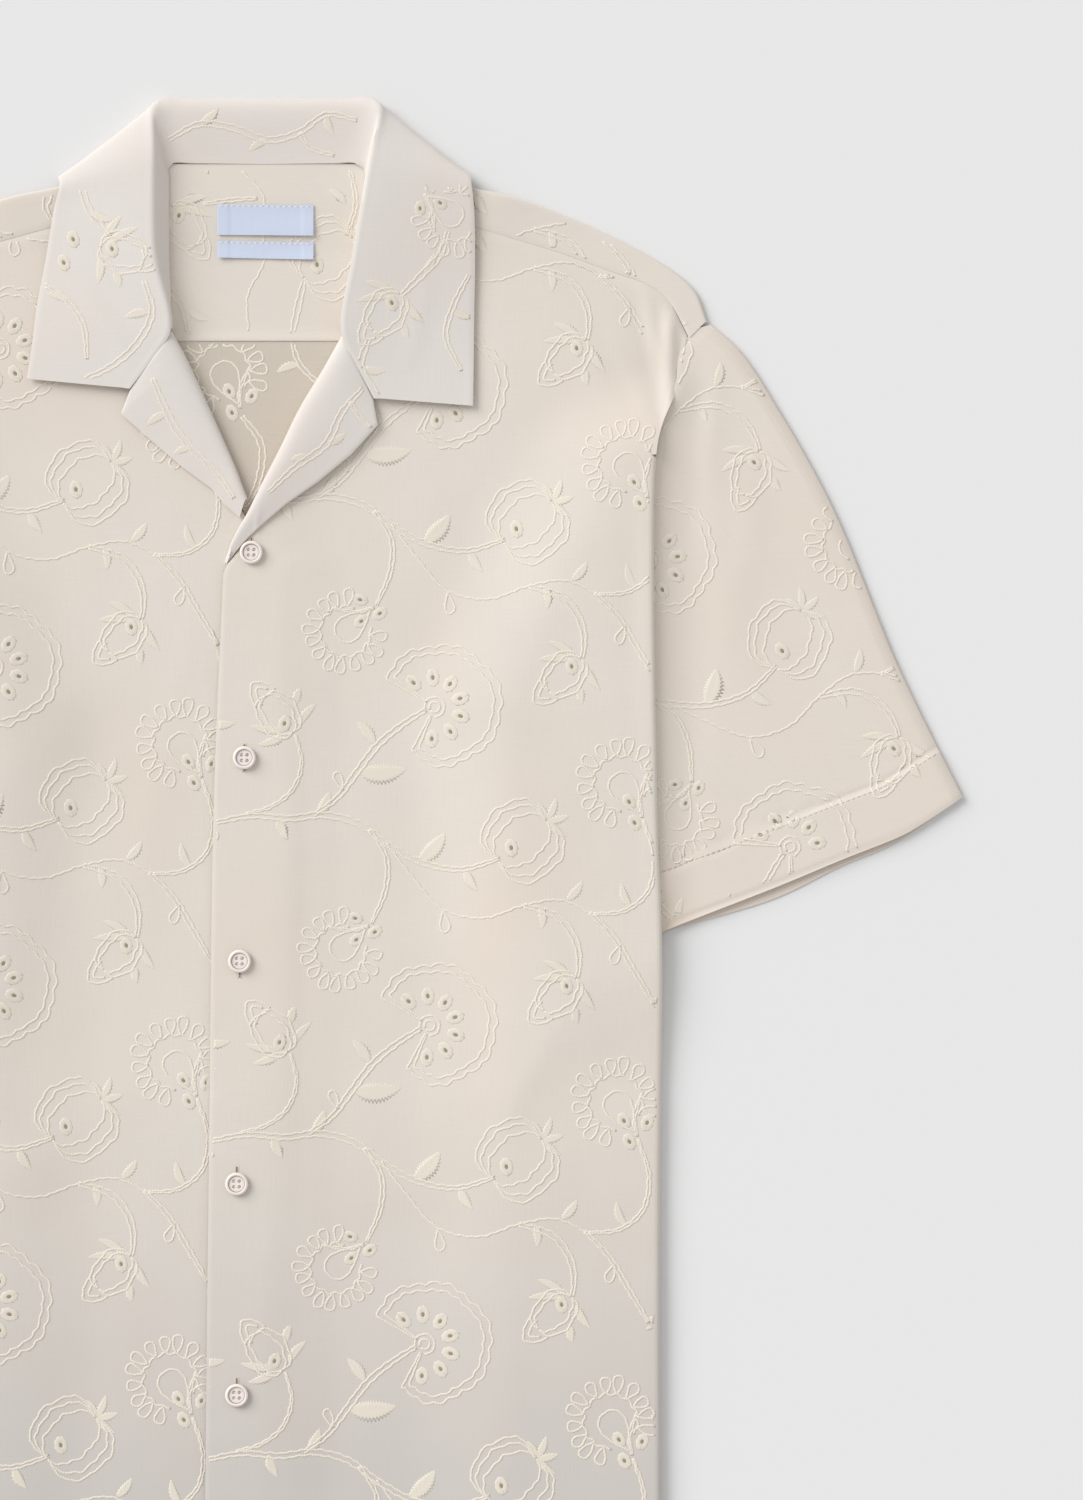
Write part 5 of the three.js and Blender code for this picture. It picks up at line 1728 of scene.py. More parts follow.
@dataclass
class Needlework:
    """Sewn work on a flat plan in millimetres: lines of floss, satin leaves and eyelets."""

    lines: list = field(default_factory=list)
    leaves: list = field(default_factory=list)  # midrib lines, with the half width at each point
    eyelets: list = field(default_factory=list)  # rows: x, drop, direction in degrees, size
    pitch: float = 1.05  # from one point of a line to the next
    sways: tuple[float, float] = (0.83, 1.37)  # distances for each radian of the waver's two sines
    leaf_pitch: float = 0.8
    leaf_saw: float = 0.19  # share of its width that a leaf's saw edge takes or adds

    def sew(self, points: Array, waver: float = 0.3) -> None:
        """Adds a line, with the waver of hand-guided stitching: two sines of unlike length.

        Args:
            points: the line's points.
            waver: height of the first sine; the second has 0.6 of it.
        """
        line = evenly(np.asarray(points, float), self.pitch)
        at = self.pitch * np.arange(len(line)) + 3.7 * len(self.lines)
        ends = np.minimum(np.arange(len(line)), np.arange(len(line))[::-1]) / 3
        short, long = self.sways
        sway = waver * (np.sin(at / short) + 0.6 * np.sin(at / long + 1)) * np.clip(ends, 0, 1)
        self.lines.append(beside_line(line, sway))

    def leaf(self, x: float, drop: float, direction: float, length: float, half: float,
             bend: float = 1.0) -> None:
        """Adds a satin leaf: its half width is a sine of the share along it, fuller near the base,
        with a fine saw edge; its midrib is bent sideways by half a sine.

        Args:
            x: x of its base.
            drop: drop of its base.
            direction: degrees from +x toward +drop.
            length: from base to tip.
            half: about half its width.
            bend: how far its middle lies to one side.
        """
        t = np.linspace(0, 1, max(int(length / self.leaf_pitch), 8))
        rib = np.stack([length * t, bend * np.sin(math.pi * t)], axis=1)
        saw = 1 + self.leaf_saw * np.cos(math.pi * np.arange(len(t)))
        width = 1.18 * half * np.sin(math.pi * t ** 0.85) ** 0.8 * saw
        self.leaves.append((turned(rib, direction) + [x, drop], width))

    def loop(self, x: float, drop: float, direction: float, length: float, width: float) -> None:
        """Adds a loop petal: along is a sine and across a sine of twice the share.

        Args:
            x: x of its base.
            drop: drop of its base.
            direction: degrees from +x toward +drop.
            length: from base to tip.
            width: its width.
        """
        t = np.linspace(0, 1, 25)
        loop = np.stack([length * np.sin(math.pi * t), width / 2 * np.sin(2 * math.pi * t)], axis=1)
        self.sew(turned(loop, direction) + [x, drop], 0.12)

    def eyelet(self, x: float, drop: float, direction: float, size: float = 1.0) -> None:
        """Adds an eyelet, longer in its direction."""
        self.eyelets.append((x, drop, direction, size))

    def stem(self, *points: tuple[float, float], gap: float) -> None:
        """Adds a stem through points: two lines that draw together toward its ends, or one without gap.

        Args:
            points: places it runs through.
            gap: the widest distance between its lines.
        """
        at = np.linspace(0, len(points) - 1, 14 * len(points))
        line = evenly(spline(np.array(points, float), at), self.pitch)
        if gap == 0:
            return self.sew(line, 0.22)
        open_by = gap / 2 * (0.35 + 0.65 * np.sin(math.pi * np.linspace(0.1, 0.95, len(line))))
        self.sew(beside_line(line, open_by), 0.2)
        self.sew(beside_line(line, -open_by), 0.2)

    @classmethod
    def drawn(cls, copies: tuple = (), stems: tuple = (), leaves: tuple = (), loops: tuple = (),
              eyelets: tuple = ()) -> "Needlework":
        """Work drawn from tables.

        Args:
            copies: other work, each followed by what add() takes.
            stems: the gap between a stem's two lines, followed by its points.
            leaves, loops, eyelets: rows of what the methods of those names take.

        Returns:
            The work.
        """
        work = cls()
        for row in copies:
            work.add(*row)
        for gap, *points in stems:
            work.stem(*points, gap=gap)
        for method, rows in ((work.leaf, leaves), (work.loop, loops), (work.eyelet, eyelets)):
            for row in rows:
                method(*row)
        return work

    def add(self, other: "Needlework", x: float = 0, drop: float = 0, turn: float = 0,
            mirror: bool = False, size: float = 1.0) -> None:
        """Adds a copy of other work, mirrored, turned, sized and moved.

        Args:
            other: the work to copy.
            x: x of the copy's origin.
            drop: drop of the copy's origin.
            turn: degrees from +x toward +drop.
            mirror: whether it is mirrored first.
            size: the copy's scale.
        """
        flip = np.array([-1 if mirror else 1, 1]) * size

        def moved(points: Array) -> Array:
            """Points of the other work in this one's plan."""
            return turned(points * flip, turn) + [x, drop]

        self.lines += [moved(line) for line in other.lines]
        self.leaves += [(moved(rib), half * size) for rib, half in other.leaves]
        for ex, ed, direction, each in other.eyelets:
            where = moved(np.array([[ex, ed]]))[0]
            facing = (180 - direction if mirror else direction) + turn
            self.eyelets.append((where[0], where[1], facing, each * size))


@dataclass(frozen=True)
class Motifs:
    """Flowers, buds and stems of the vine, each drawn by its own formula round its own middle."""

    fan_reach: float = 35.0
    ring_reach: float = 14.0
    rose_reach: float = 9.5

    def fan(self) -> Needlework:
        """Fan flower: radius runs out from the hub, over a sweep of 268 degrees with scallops and
        back, drawn twice; a hub of two rings and seven eyelets on an arc.

        Returns:
            The needlework, about its own origin.
        """
        work = Needlework()
        t = np.linspace(0, 1, 270)
        turn = np.clip((t - 0.1) / 0.82, 0, 1)
        ends = np.minimum(np.minimum(t / 0.1, (1 - t) / 0.08), 1) ** 0.8
        lobe = np.interp(turn, (0, 0.23, 0.55, 0.9, 1), (0.82, 0.89, 1.0, 0.83, 0.68))
        for inset, scallop in ((0, 1.5), (4.0, 1.0)):
            angle = 209 + 1.7 * inset + (268 - 3.4 * inset) * turn
            beat = np.abs(np.sin(math.pi * 21 * t + inset)) + 0.5 * np.sin(math.pi * 13 * t)
            radius = 4.8 + (self.fan_reach - 4.8 - inset) * lobe * ends + scallop * (beat - 0.5) * ends
            work.sew(round_about(radius, angle), 0.1)
        for radius, sweep in ((5.2, 300), (2.7, 350)):
            work.sew(round_about(radius, np.linspace(150, 150 + sweep, 40)), 0.12)
        for k, turn in enumerate(np.linspace(228, 454, 7)):
            reach = 16.6 - 2.6 * math.sin(math.pi * k / 6)
            work.eyelet(*round_about(reach, turn), turn, 1.0)
        return work

    def arcs(self, work: Needlework, start: tuple, end: tuple, bulges: tuple, waves: float = 3.4,
             spread: float = 0.15) -> None:
        """Adds nested lobes from start to end: across is a low power of a sine, and along runs past
        both ends by more the wider the lobe is, with a ripple across.

        Args:
            work: what they are added to.
            start, end: the places they join.
            bulges: how far each reaches to the left, or with a minus to the right.
            waves: of the ripple, along the lobe.
            spread: share of the length by which the widest runs past.
        """
        a, b = np.array(start, float), np.array(end, float)
        size = np.linalg.norm(b - a)
        ahead = (b - a) / size
        t = np.linspace(0, 1, 90)
        for k, bulge in enumerate(bulges):
            ripple = 0.5 * np.sin(waves * 2 * math.pi * t + k)
            ripple += 0.45 * np.sin(waves * 3.7 * math.pi * t + 2.1 * k)
            across = bulge * np.sin(math.pi * t) ** 0.8 + np.sign(bulge) * ripple * np.sin(math.pi * t)
            past = spread * (abs(bulge) / max(map(abs, bulges))) ** 2.4 - 0.045
            along = size * (0.5 - 0.5 * np.cos(math.pi * t) - past * np.sin(2 * math.pi * t))
            work.sew(a + along[:, None] * ahead + across[:, None] * leftward(ahead), 0.15)

    def bud(self) -> Needlework:
        """Round bud: nested lobes from crown to stem, four crown leaves and one eyelet.

        Returns:
            The needlework, about its own origin.
        """
        work = Needlework()
        crown, foot = (15, -12), (-9.5, 9.5)
        self.arcs(work, crown, foot, (-21, -17, -10.5, 21, 17.5, 12))
        for direction, length in ((-122, 11), (-68, 13), (-14, 12), (38, 13)):
            work.leaf(*crown, direction, length, 2.1, 0.8)
        work.eyelet(-3.0, 2.4, 78, 1.0)
        return work

    def ring(self) -> Needlework:
        """Ring flower: loop petals on an open ring, a teardrop within and three eyelets at its foot.

        Returns:
            The needlework, about its own origin.
        """
        work = Needlework()
        r = self.ring_reach
        turn = np.linspace(88, 388, 120)
        work.sew(round_about(r + 0.7 * np.sin(np.radians(turn) * 13), turn), 0.12)
        for k, direction in enumerate(np.linspace(104, 372, 13)):
            lean, length = 7 * math.sin(2.1 * k), 9.3 + 0.9 * math.sin(1.7 * k)
            work.loop(*round_about(r, direction), direction + lean, length, 5.4)
        work.loop(10.5, 15.5, 236, 24, 14.5)
        work.stem((11.5, 17.5), (10, 9), (12, 0), (14, -5), gap=1.2)
        for row in ((4.6, 9.6, 60), (16.6, 10.4, 110), (7.6, 20.4, 60)):
            work.eyelet(*row, 0.95)
        return work

    def rosebud(self) -> Needlework:
        """Pointed bud: two pairs of onion arcs, curled tip petals, four leaves and one eyelet.

        Returns:
            The needlework, about its own origin.
        """
        work = Needlework()
        joint, tip = (7.6, -8.4), (-8.6, 8.4)
        self.arcs(work, joint, tip, (-self.rose_reach, -6.2, 1.12 * self.rose_reach, 7.6), 2.3, 0.12)
        work.stem((-13, 2), (-16.5, 8), (-16, 14.5), (-10, 15), (-4, 12.5), gap=0)
        work.stem((-10, 3.5), (-13.4, 8.5), (-13.2, 12.4), (-8, 12), gap=0)
        for row in ((5, -9.5, -152, 17), (4, -8, 179, 19), (10, -5, 58, 15), (8, 6, 84, 9)):
            work.leaf(*row, 2.3, 1.0)
        work.eyelet(2.8, -4.6, 78, 0.95)
        return work

    def repeat(self) -> Needlework:
        """One repeat of the vine: the flowers round a fan at its middle, and the stems between.

        Returns:
            The needlework, about its own origin.
        """
        return Needlework.drawn(
            copies=(
                (self.fan(),), (self.bud(), 44, 70), (self.ring(), 97, 38),
                (self.ring(), -47, 127, -98, False, 0.93), (self.rosebud(), 68, 148),
                (self.rosebud(), -80, 5, 186, True),
            ),
            stems=(
                (2.9, (-4.5, 1.5), (-16, 9), (-29, 20), (-41, 36), (-50, 48), (-62, 57)),
                (2.9, (-114, 62), (-94, 58), (-74, 59), (-57, 57), (-39, 61), (-21, 73), (-5, 81), (15, 84),
                 (35, 78)),
                (0, (-24, 71), (-12, 86), (6, 105), (27, 109), (48, 102), (67, 99), (84, 106)),
                (2.2, (82, 105), (95, 118), (105, 134), (116, 152)),
                (2.9, (48, 102), (66, 108), (75, 120), (77, 131), (76, 139)),
                (1.5, (84, 106), (100, 104), (112, 94), (115, 76), (109, 57)),
                (1.9, (-33, 64), (-24, 78), (-24, 95), (-31, 113)),
                (1.2, (-97, 57), (-84, 53), (-73, 44), (-68.5, 30), (-72, 15.5)),
            ),
            leaves=(
                (-39, 34, -4, 25, 5.0, 2.0), (-31, 20, -128, 15, 3.0, 1.0), (-7, 80, -48, 20, 4.4, 1.5),
                (17, 84, 58, 13, 2.6, 1.0), (70, 99, -52, 13, 2.4, 1.0), (56, 102, 82, 12, 2.2, -1.0),
                (104, 103, -112, 15, 2.2, -1.5), (115, 150, -4, 14, 2.4, 1.0), (116, 153, 62, 12, 2.4, 1.0),
                (-60, 57, -64, 14, 2.9, 1.2), (-80, 58, 68, 13, 2.7, 1.0),
            ),
            loops=((-47, 44, -112, 10, 4.2), (6, 106, 82, 11, 5.0), (98, 122, 112, 10, 4.6)),
        )


@dataclass(frozen=True)
class Embroiderer:
    """Raises needlework on a panel: lines and leaves as low closed ribbons, eyelets as rims round discs of
    painted shade.
    """

    half_width: float = 0.64
    height: float = 0.21
    leaf_height: float = 0.17
    sink: float = 0.08
    rim_profile: tuple = (  # columns: radius, height
        (0.8, -0.1), (0.92, 0.08), (1.5, 0.14), (3.0, 0.11), (3.6, -0.06),
    )
    bead: tuple = ((-1, 0), (-0.62, 1), (0.62, 1), (1, 0))  # a line's section, right to left
    dome: tuple = ((-1, 0), (-0.55, 1), (-0.09, 0.35), (0.09, 0.35), (0.55, 1), (1, 0))  # a leaf's
    disc_steps: int = 16
    disc_past: float = 0.05  # how far an eyelet's disc of painted shade reaches under its rim
    eyelet_room: float = 3.0  # cloth that an eyelet needs on all sides
    rim_steps: int = 18
    rim_saw: float = 0.06  # how far its outer edge goes in and out, as a share
    rim_radius: float = 4.9  # round which its stitches are counted
    shade_height: float = 0.06  # of the disc of painted shade in each eyelet, over the cloth
    longer: float = 1.42

    def ribbons(self, panel: Panel, lines: list, halves: list, heights: list, profile: Array) -> tuple:
        """Carries a profile along lines that lie on a panel, as far as the panel is covered.

        Args:
            panel: what they lie on.
            lines: plan points of each line.
            halves, heights: half width and height at each point of each line.
            profile: across in half widths and up in heights, shape (P, 2), from right to left.

        Returns:
            Vertices, faces and uv.
        """
        plan = np.concatenate(lines)
        owner = np.repeat(np.arange(len(lines)), [len(line) for line in lines])
        half, height = np.concatenate(halves), np.concatenate(heights)
        place, normal = panel.locate(plan)
        index = np.arange(len(plan))
        nexts, before = np.minimum(index + 1, len(plan) - 1), np.maximum(index - 1, 0)
        nexts = np.where(owner[nexts] == owner, nexts, index)
        before = np.where(owner[before] == owner, before, index)
        heading = unit(plan[nexts] - plan[before])
        beside = leftward(heading) * half[:, None]
        covered = panel.covers(plan) & panel.covers(plan + beside) & panel.covers(plan - beside)
        ahead = unit(place[nexts] - place[before])
        left = unit(np.cross(normal, ahead))
        across = profile[None, :, :1] * half[:, None, None] * left[:, None]
        rise = profile[None, :, 1:] * height[:, None, None] - self.sink * (profile[None, :, 1:] == 0)
        ring = place[:, None] + across + rise * normal[:, None]
        count = len(profile)
        number = index[:, None] * count + np.arange(count)
        run = np.cumsum(np.linalg.norm(place - place[before], axis=1))
        kept = (owner[:-1] == owner[1:]) & covered[:-1] & covered[1:]
        a, b = number[:-1][kept], number[1:][kept]
        opens = kept & ~np.concatenate([[False], kept[:-1]])
        closes = kept & ~np.concatenate([kept[1:], [False]])
        caps = []
        for j in range(0, count - 2, 2):
            corner = [0, j + 1, j + 2, min(j + 3, count - 1)]
            caps += [number[:-1][opens][:, corner], number[1:][closes][:, corner[::-1]]]
        faces = np.concatenate([rings_joined(a, b), *caps])
        aside = np.tile(profile[:, 0], len(plan)) * np.repeat(half, count)
        uv = np.stack([np.repeat(run, count), aside], axis=1) * MM
        return ring.reshape(-1, 3), faces, uv

    def rims(self, panel: Panel, eyelets: Array) -> tuple:
        """Satin rims: a closed profile turned round each hole, longer one way, with a saw edge.

        Args:
            panel: what they lie on.
            eyelets: rows of x, drop, direction and size.

        Returns:
            Vertices, faces and the place of each vertex on the thread.
        """
        angle = np.linspace(0, 2 * math.pi, self.rim_steps, endpoint=False)
        profile = np.array(self.rim_profile)
        saw = 1 + self.rim_saw * np.cos(math.pi * np.arange(self.rim_steps))
        saw = np.where(np.arange(len(profile)) == len(profile) - 1, saw[:, None], 1.0)
        radius = profile[None, :, 0] * saw
        plan = self.oval(eyelets, angle, radius)
        place, normal = panel.locate(plan)
        vertices = place + normal * profile[None, None, :, 1:]
        shape = vertices.shape[:3]
        number = np.arange(math.prod(shape)).reshape(shape)
        faces = rings_joined(number, np.roll(number, -1, axis=1))[:, ::-1]
        u = np.broadcast_to(angle[None, :, None] * self.rim_radius * MM, shape)
        uv = np.stack([u, np.broadcast_to(profile[:, 0] * MM, shape)], axis=-1).reshape(-1, 2)
        return vertices.reshape(-1, 3), faces, uv

    def oval(self, eyelets: Array, angle: Array, radius: Array) -> Array:
        """Plan points of ovals: the circle stretched along each eyelet's direction.

        Args:
            eyelets: a row for each.
            angle: turns round the hole.
            radius: distances from its middle.

        Returns:
            Plan points, shape (eyelets, angles, radii, 2).
        """
        size = eyelets[:, 3][:, None, None]
        along = radius[None] * np.cos(angle)[None, :, None] * self.longer * size
        across = radius[None] * np.sin(angle)[None, :, None] * size
        turn = np.radians(eyelets[:, 2])[:, None, None]
        x = eyelets[:, 0][:, None, None] + along * np.cos(turn) - across * np.sin(turn)
        drop = eyelets[:, 1][:, None, None] + along * np.sin(turn) + across * np.cos(turn)
        return np.stack([x, drop], axis=-1)

    def twisted(self, line: Array, size: float) -> Array:
        """A size that swells and thins from stitch to stitch along a line."""
        at = np.arange(len(line))
        return size * (1 + 0.14 * np.cos(math.pi * at) + 0.08 * np.sin(1.3 * at))

    def work_on(self, name: str, panel: Panel, work: Needlework, finishes: Finishes,
                relief: float = 1.0, fine: float = 1.0, floss: Floss | None = None) -> None:
        """Makes one piece of all the floss on a panel, and one of the painted shade discs in its eyelets.

        Args:
            name: the piece's name.
            panel: what it lies on.
            work: what is sewn.
            finishes: where its materials come from.
            relief: factor on the heights.
            fine: factor on the width and height of the lines.
            floss: another finish for the lines.
        """
        lines = [line for line in work.lines if panel.covers(line).any()]
        leaves = [(rib, half) for rib, half in work.leaves if panel.covers(rib).any()]
        parts = []
        if lines:
            heights = [self.twisted(line, self.height * relief * fine) for line in lines]
            halves = [self.twisted(line, self.half_width * fine) for line in lines]
            parts.append((*self.ribbons(panel, lines, halves, heights, np.array(self.bead, float)), 0))
        if leaves:
            ribs, widths = zip(*leaves)
            swells = [self.leaf_height * relief * np.sin(math.pi * np.linspace(0.04, 0.96, len(rib))) ** 0.5
                      for rib in ribs]
            parts.append((*self.ribbons(panel, ribs, widths, swells, np.array(self.dome, float)), 1))
        eyelets = np.array(work.eyelets, float).reshape(-1, 4)
        if len(eyelets):
            around = self.eyelet_room * np.array([(-1, 0), (1, 0), (0, -1), (0, 1)])
            whole = eyelets[:, None, :2] + around
            eyelets = eyelets[panel.covers(whole.reshape(-1, 2)).reshape(-1, 4).all(axis=1)]
        if len(eyelets):
            parts.append((*self.rims(panel, eyelets), 1))
            # painted shade: a dark disc under each rim, standing for the hole and the shaded cloth beneath
            angle = np.linspace(0, 2 * math.pi, self.disc_steps, endpoint=False)
            reach = np.full((1, 1), self.rim_profile[0][0] + self.disc_past)
            plan = self.oval(eyelets, angle, reach)[:, :, 0]
            place, normal = panel.locate(plan)
            discs = (place + normal * self.shade_height).reshape(-1, 3)
            faces = np.arange(len(discs)).reshape(-1, self.disc_steps)[:, ::-1]
            shade = make_object(f"{name}_eyelets", discs, faces, discs[:, :2] * MM,
                                [finishes.shade.material()])
            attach(shade, "root")
        if not parts:
            return LOG.warning("%s: nothing lies on its panel", name)
        offset, vertices, faces, uv, dress = 0, [], [], [], []
        for part_vertices, part_faces, part_uv, number in parts:
            vertices.append(part_vertices)
            faces.append(part_faces + offset)
            uv.append(part_uv)
            dress.append(np.full(len(part_faces), number))
            offset += len(part_vertices)
        faces = np.concatenate(faces)
        used, order = np.unique(faces, return_inverse=True)
        materials = [(floss or finishes.floss).material(), finishes.satin.material()]
        thing = make_object(name, np.concatenate(vertices)[used], order.reshape(faces.shape),
                            np.concatenate(uv)[used], materials, 180, np.concatenate(dress))
        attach(thing, "root")
        LOG.info("%s: %d lines, %d leaves, %d eyelets, %d triangles", name, len(lines), len(leaves),
                 len(eyelets), 2 * len(faces))


@dataclass(frozen=True)
class Vine:
    """Where the repeats of the vine lie on each cloth piece, and the sewing of them."""

    across: float = 232.0
    down: float = 165.4
    motifs: Motifs = Motifs()
    needle: Embroiderer = Embroiderer()

    def field(self, x: float, drop: float, turn: float, rows: range, columns: range,
              shift: float = 26.0, mirror: bool = False) -> Needlework:
        """Repeats set out from a first fan: rows follow the grain, and columns stand beside it.

        Args:
            x, drop: the first fan's middle.
            turn: degrees from +x toward +drop.
            rows, columns: numbers of the repeats, counted from the first.
            shift: how far each column is moved up past the one before.
            mirror: whether each repeat is mirrored.

        Returns:
            The needlework, in plan millimetres.
        """
        work, repeat = Needlework(), self.motifs.repeat()
        for row in rows:
            for column in columns:
                place = turned(np.array([column * self.across, row * self.down - column * shift]), turn)
                work.add(repeat, x + place[0], drop + place[1], turn, mirror)
        return work

    def sew(self, panels: dict, finishes: Finishes) -> None:
        """Sews the vine on every panel.

        Args:
            panels: the cloth pieces.
            finishes: the shirt's finishes.
        """
        collar = panels["collar"]
        shared = {"shown": collar.shown, "roll_column": collar.roll_column}
        stand = Stand("collar", collar.finish, collar.flat, collar.area, spans=((38, 82),), **shared)
        yoke = YokeInside("back_yoke", finishes.inner, (0, 0), 0)
        outside = BackOutside("back", finishes.front, (0, 0), 0)
        beside, wide = range(-1, 2), range(-1, 5)
        for name, panel, work, relief in (
            ("front_left", None, self.field(96.7, 150.8, 0.9, wide, beside), 1.0),
            ("front_right", None, self.field(-132.0, 130.2, 0.9, wide, range(0, 2)), 1.0),
            ("sleeve_left", None, self.field(206, 240, -26, range(-1, 3), beside, 0), 1.0),
            ("sleeve_right", None, self.field(-206, 240, 26, range(-1, 3), beside, 0, True), 1.0),
            ("yoke", panels["back_yoke"], self.field(96.7, 130.8, 0.9, range(-1, 1), beside), 1.0),
            ("yoke_inside", yoke, self.behind_neck(), 0.8),
            ("back_inside", panels["back"], self.in_neck(), 0.8),
            ("back_outside", outside, self.field(20.0, 240.0, 0.5, range(-1, 4), beside), 0.55),
            ("collar", collar, self.on_collar(), 0.7),
            ("collar_stand", stand, self.on_stand(), 0.6),
            ("lapel_left", None, self.on_lapels(), 0.6),
            ("lapel_right", None, self.on_lapels(), 0.6),
        ):
            self.needle.work_on(f"vine_{name}", panel or panels[name], work, finishes, relief)

    def behind_neck(self) -> Needlework:
        """Bud, rosebud and stems on the yoke's wrong side.

        Returns:
            The needlework, in plan millimetres.
        """
        return Needlework.drawn(
            copies=((self.motifs.bud(), 36, 84, 2), (self.motifs.rosebud(), -37, 66, 12, True)),
            stems=(
                (0, (-9, 35), (3.6, 48), (6, 56), (5, 70), (5.2, 85), (-3.1, 102), (-2.6, 123)),
                (2.9, (26, 95), (23, 108), (19.6, 124)), (2.9, (-50, 94), (-38, 106), (-33.8, 122)),
                (1.8, (48, 71), (53, 55), (50, 36)), (1.6, (-26, 55), (-12, 53), (2, 52)),
            ),
            leaves=((-9, 36, 172, 17, 2.6, -1.2), (48, 55, -140, 12, 2.2), (-34, 110, 24, 12, 2.2)),
        )

    def in_neck(self) -> Needlework:
        """Ring flower and stems on the back's wrong side.

        Returns:
            The needlework, in plan millimetres.
        """
        return Needlework.drawn(
            copies=((self.motifs.ring(), -16, 142, 8),),
            stems=((2.9, (-6, 165), (4, 180), (2, 200), (-6, 214)), (2.2, (19.6, 125), (24, 138), (36, 150))),
            leaves=((24, 138, 160, 13, 2.3),),
        )

    def on_collar(self) -> Needlework:
        """Rosebuds and stems on both leaves of the collar.

        Returns:
            The needlework, in plan millimetres.
        """
        return Needlework.drawn(
            copies=(
                (self.motifs.rosebud(), 70, 112, -8), (self.motifs.rosebud(), -68, 82, -28, True),
                (self.motifs.ring(), 104, 62, 160, False, 0.9),
            ),
            stems=(
                (2.9, (77, 103), (88, 92), (97, 82), (101, 70)), (2.9, (60, 126), (56, 140), (66, 156)),
                (2.2, (112, 92), (104, 108), (100, 124), (108, 142)),
                (2.9, (-74, 72), (-84, 60), (-88, 46), (-84, 34)),
                (2.9, (-56, 96), (-52, 112), (-60, 128), (-74, 140), (-92, 148)),
                (2.2, (-110, 96), (-98, 104), (-88, 118), (-86, 136)),
            ),
            leaves=(
                (88, 92, -60, 13, 2.3), (103, 110, 20, 12, 2.2), (56, 140, 10, 13, 2.4),
                (-84, 60, 20, 13, 2.3), (-53, 112, 168, 14, 2.4), (-96, 106, 200, 12, 2.2),
            ),
            eyelets=((-93, 74, 70, 0.95), (-98, 86, 70, 0.95)),
        )

    def on_stand(self) -> Needlework:
        """Stems and leaves along the collar's inner side behind the neck.

        Returns:
            The needlework, in plan millimetres.
        """
        return Needlework.drawn(
            stems=(
                (2.9, (-44, 22), (-28, 14), (-10, 16), (8, 22), (24, 18), (38, 9), (54, 12)),
                (1.8, (24, 18), (30, 26), (42, 30)),
            ),
            leaves=((-28, 14, -40, 13, 2.3), (8, 22, 150, 12, 2.2), (38, 9, 70, 12, 2.2)),
        )

    def on_lapels(self) -> Needlework:
        """Stems and leaves that run down both lapels.

        Returns:
            The needlework, in plan millimetres.
        """
        return Needlework.drawn(
            stems=(
                (2.9, (58, 150), (46, 164), (38, 180), (22, 192), (8, 205)),
                (1.6, (50, 158), (56, 166), (62, 172)),
                (2.9, (-52, 146), (-46, 160), (-40, 172), (-30, 184), (-18, 196), (-10, 208)),
            ),
            leaves=(
                (38, 180, -30, 12, 2.2), (30, 187, 170, 11, 2.0), (-44, 164, 150, 13, 2.3),
                (-32, 182, 160, 10, 2.0),
            ),
        )


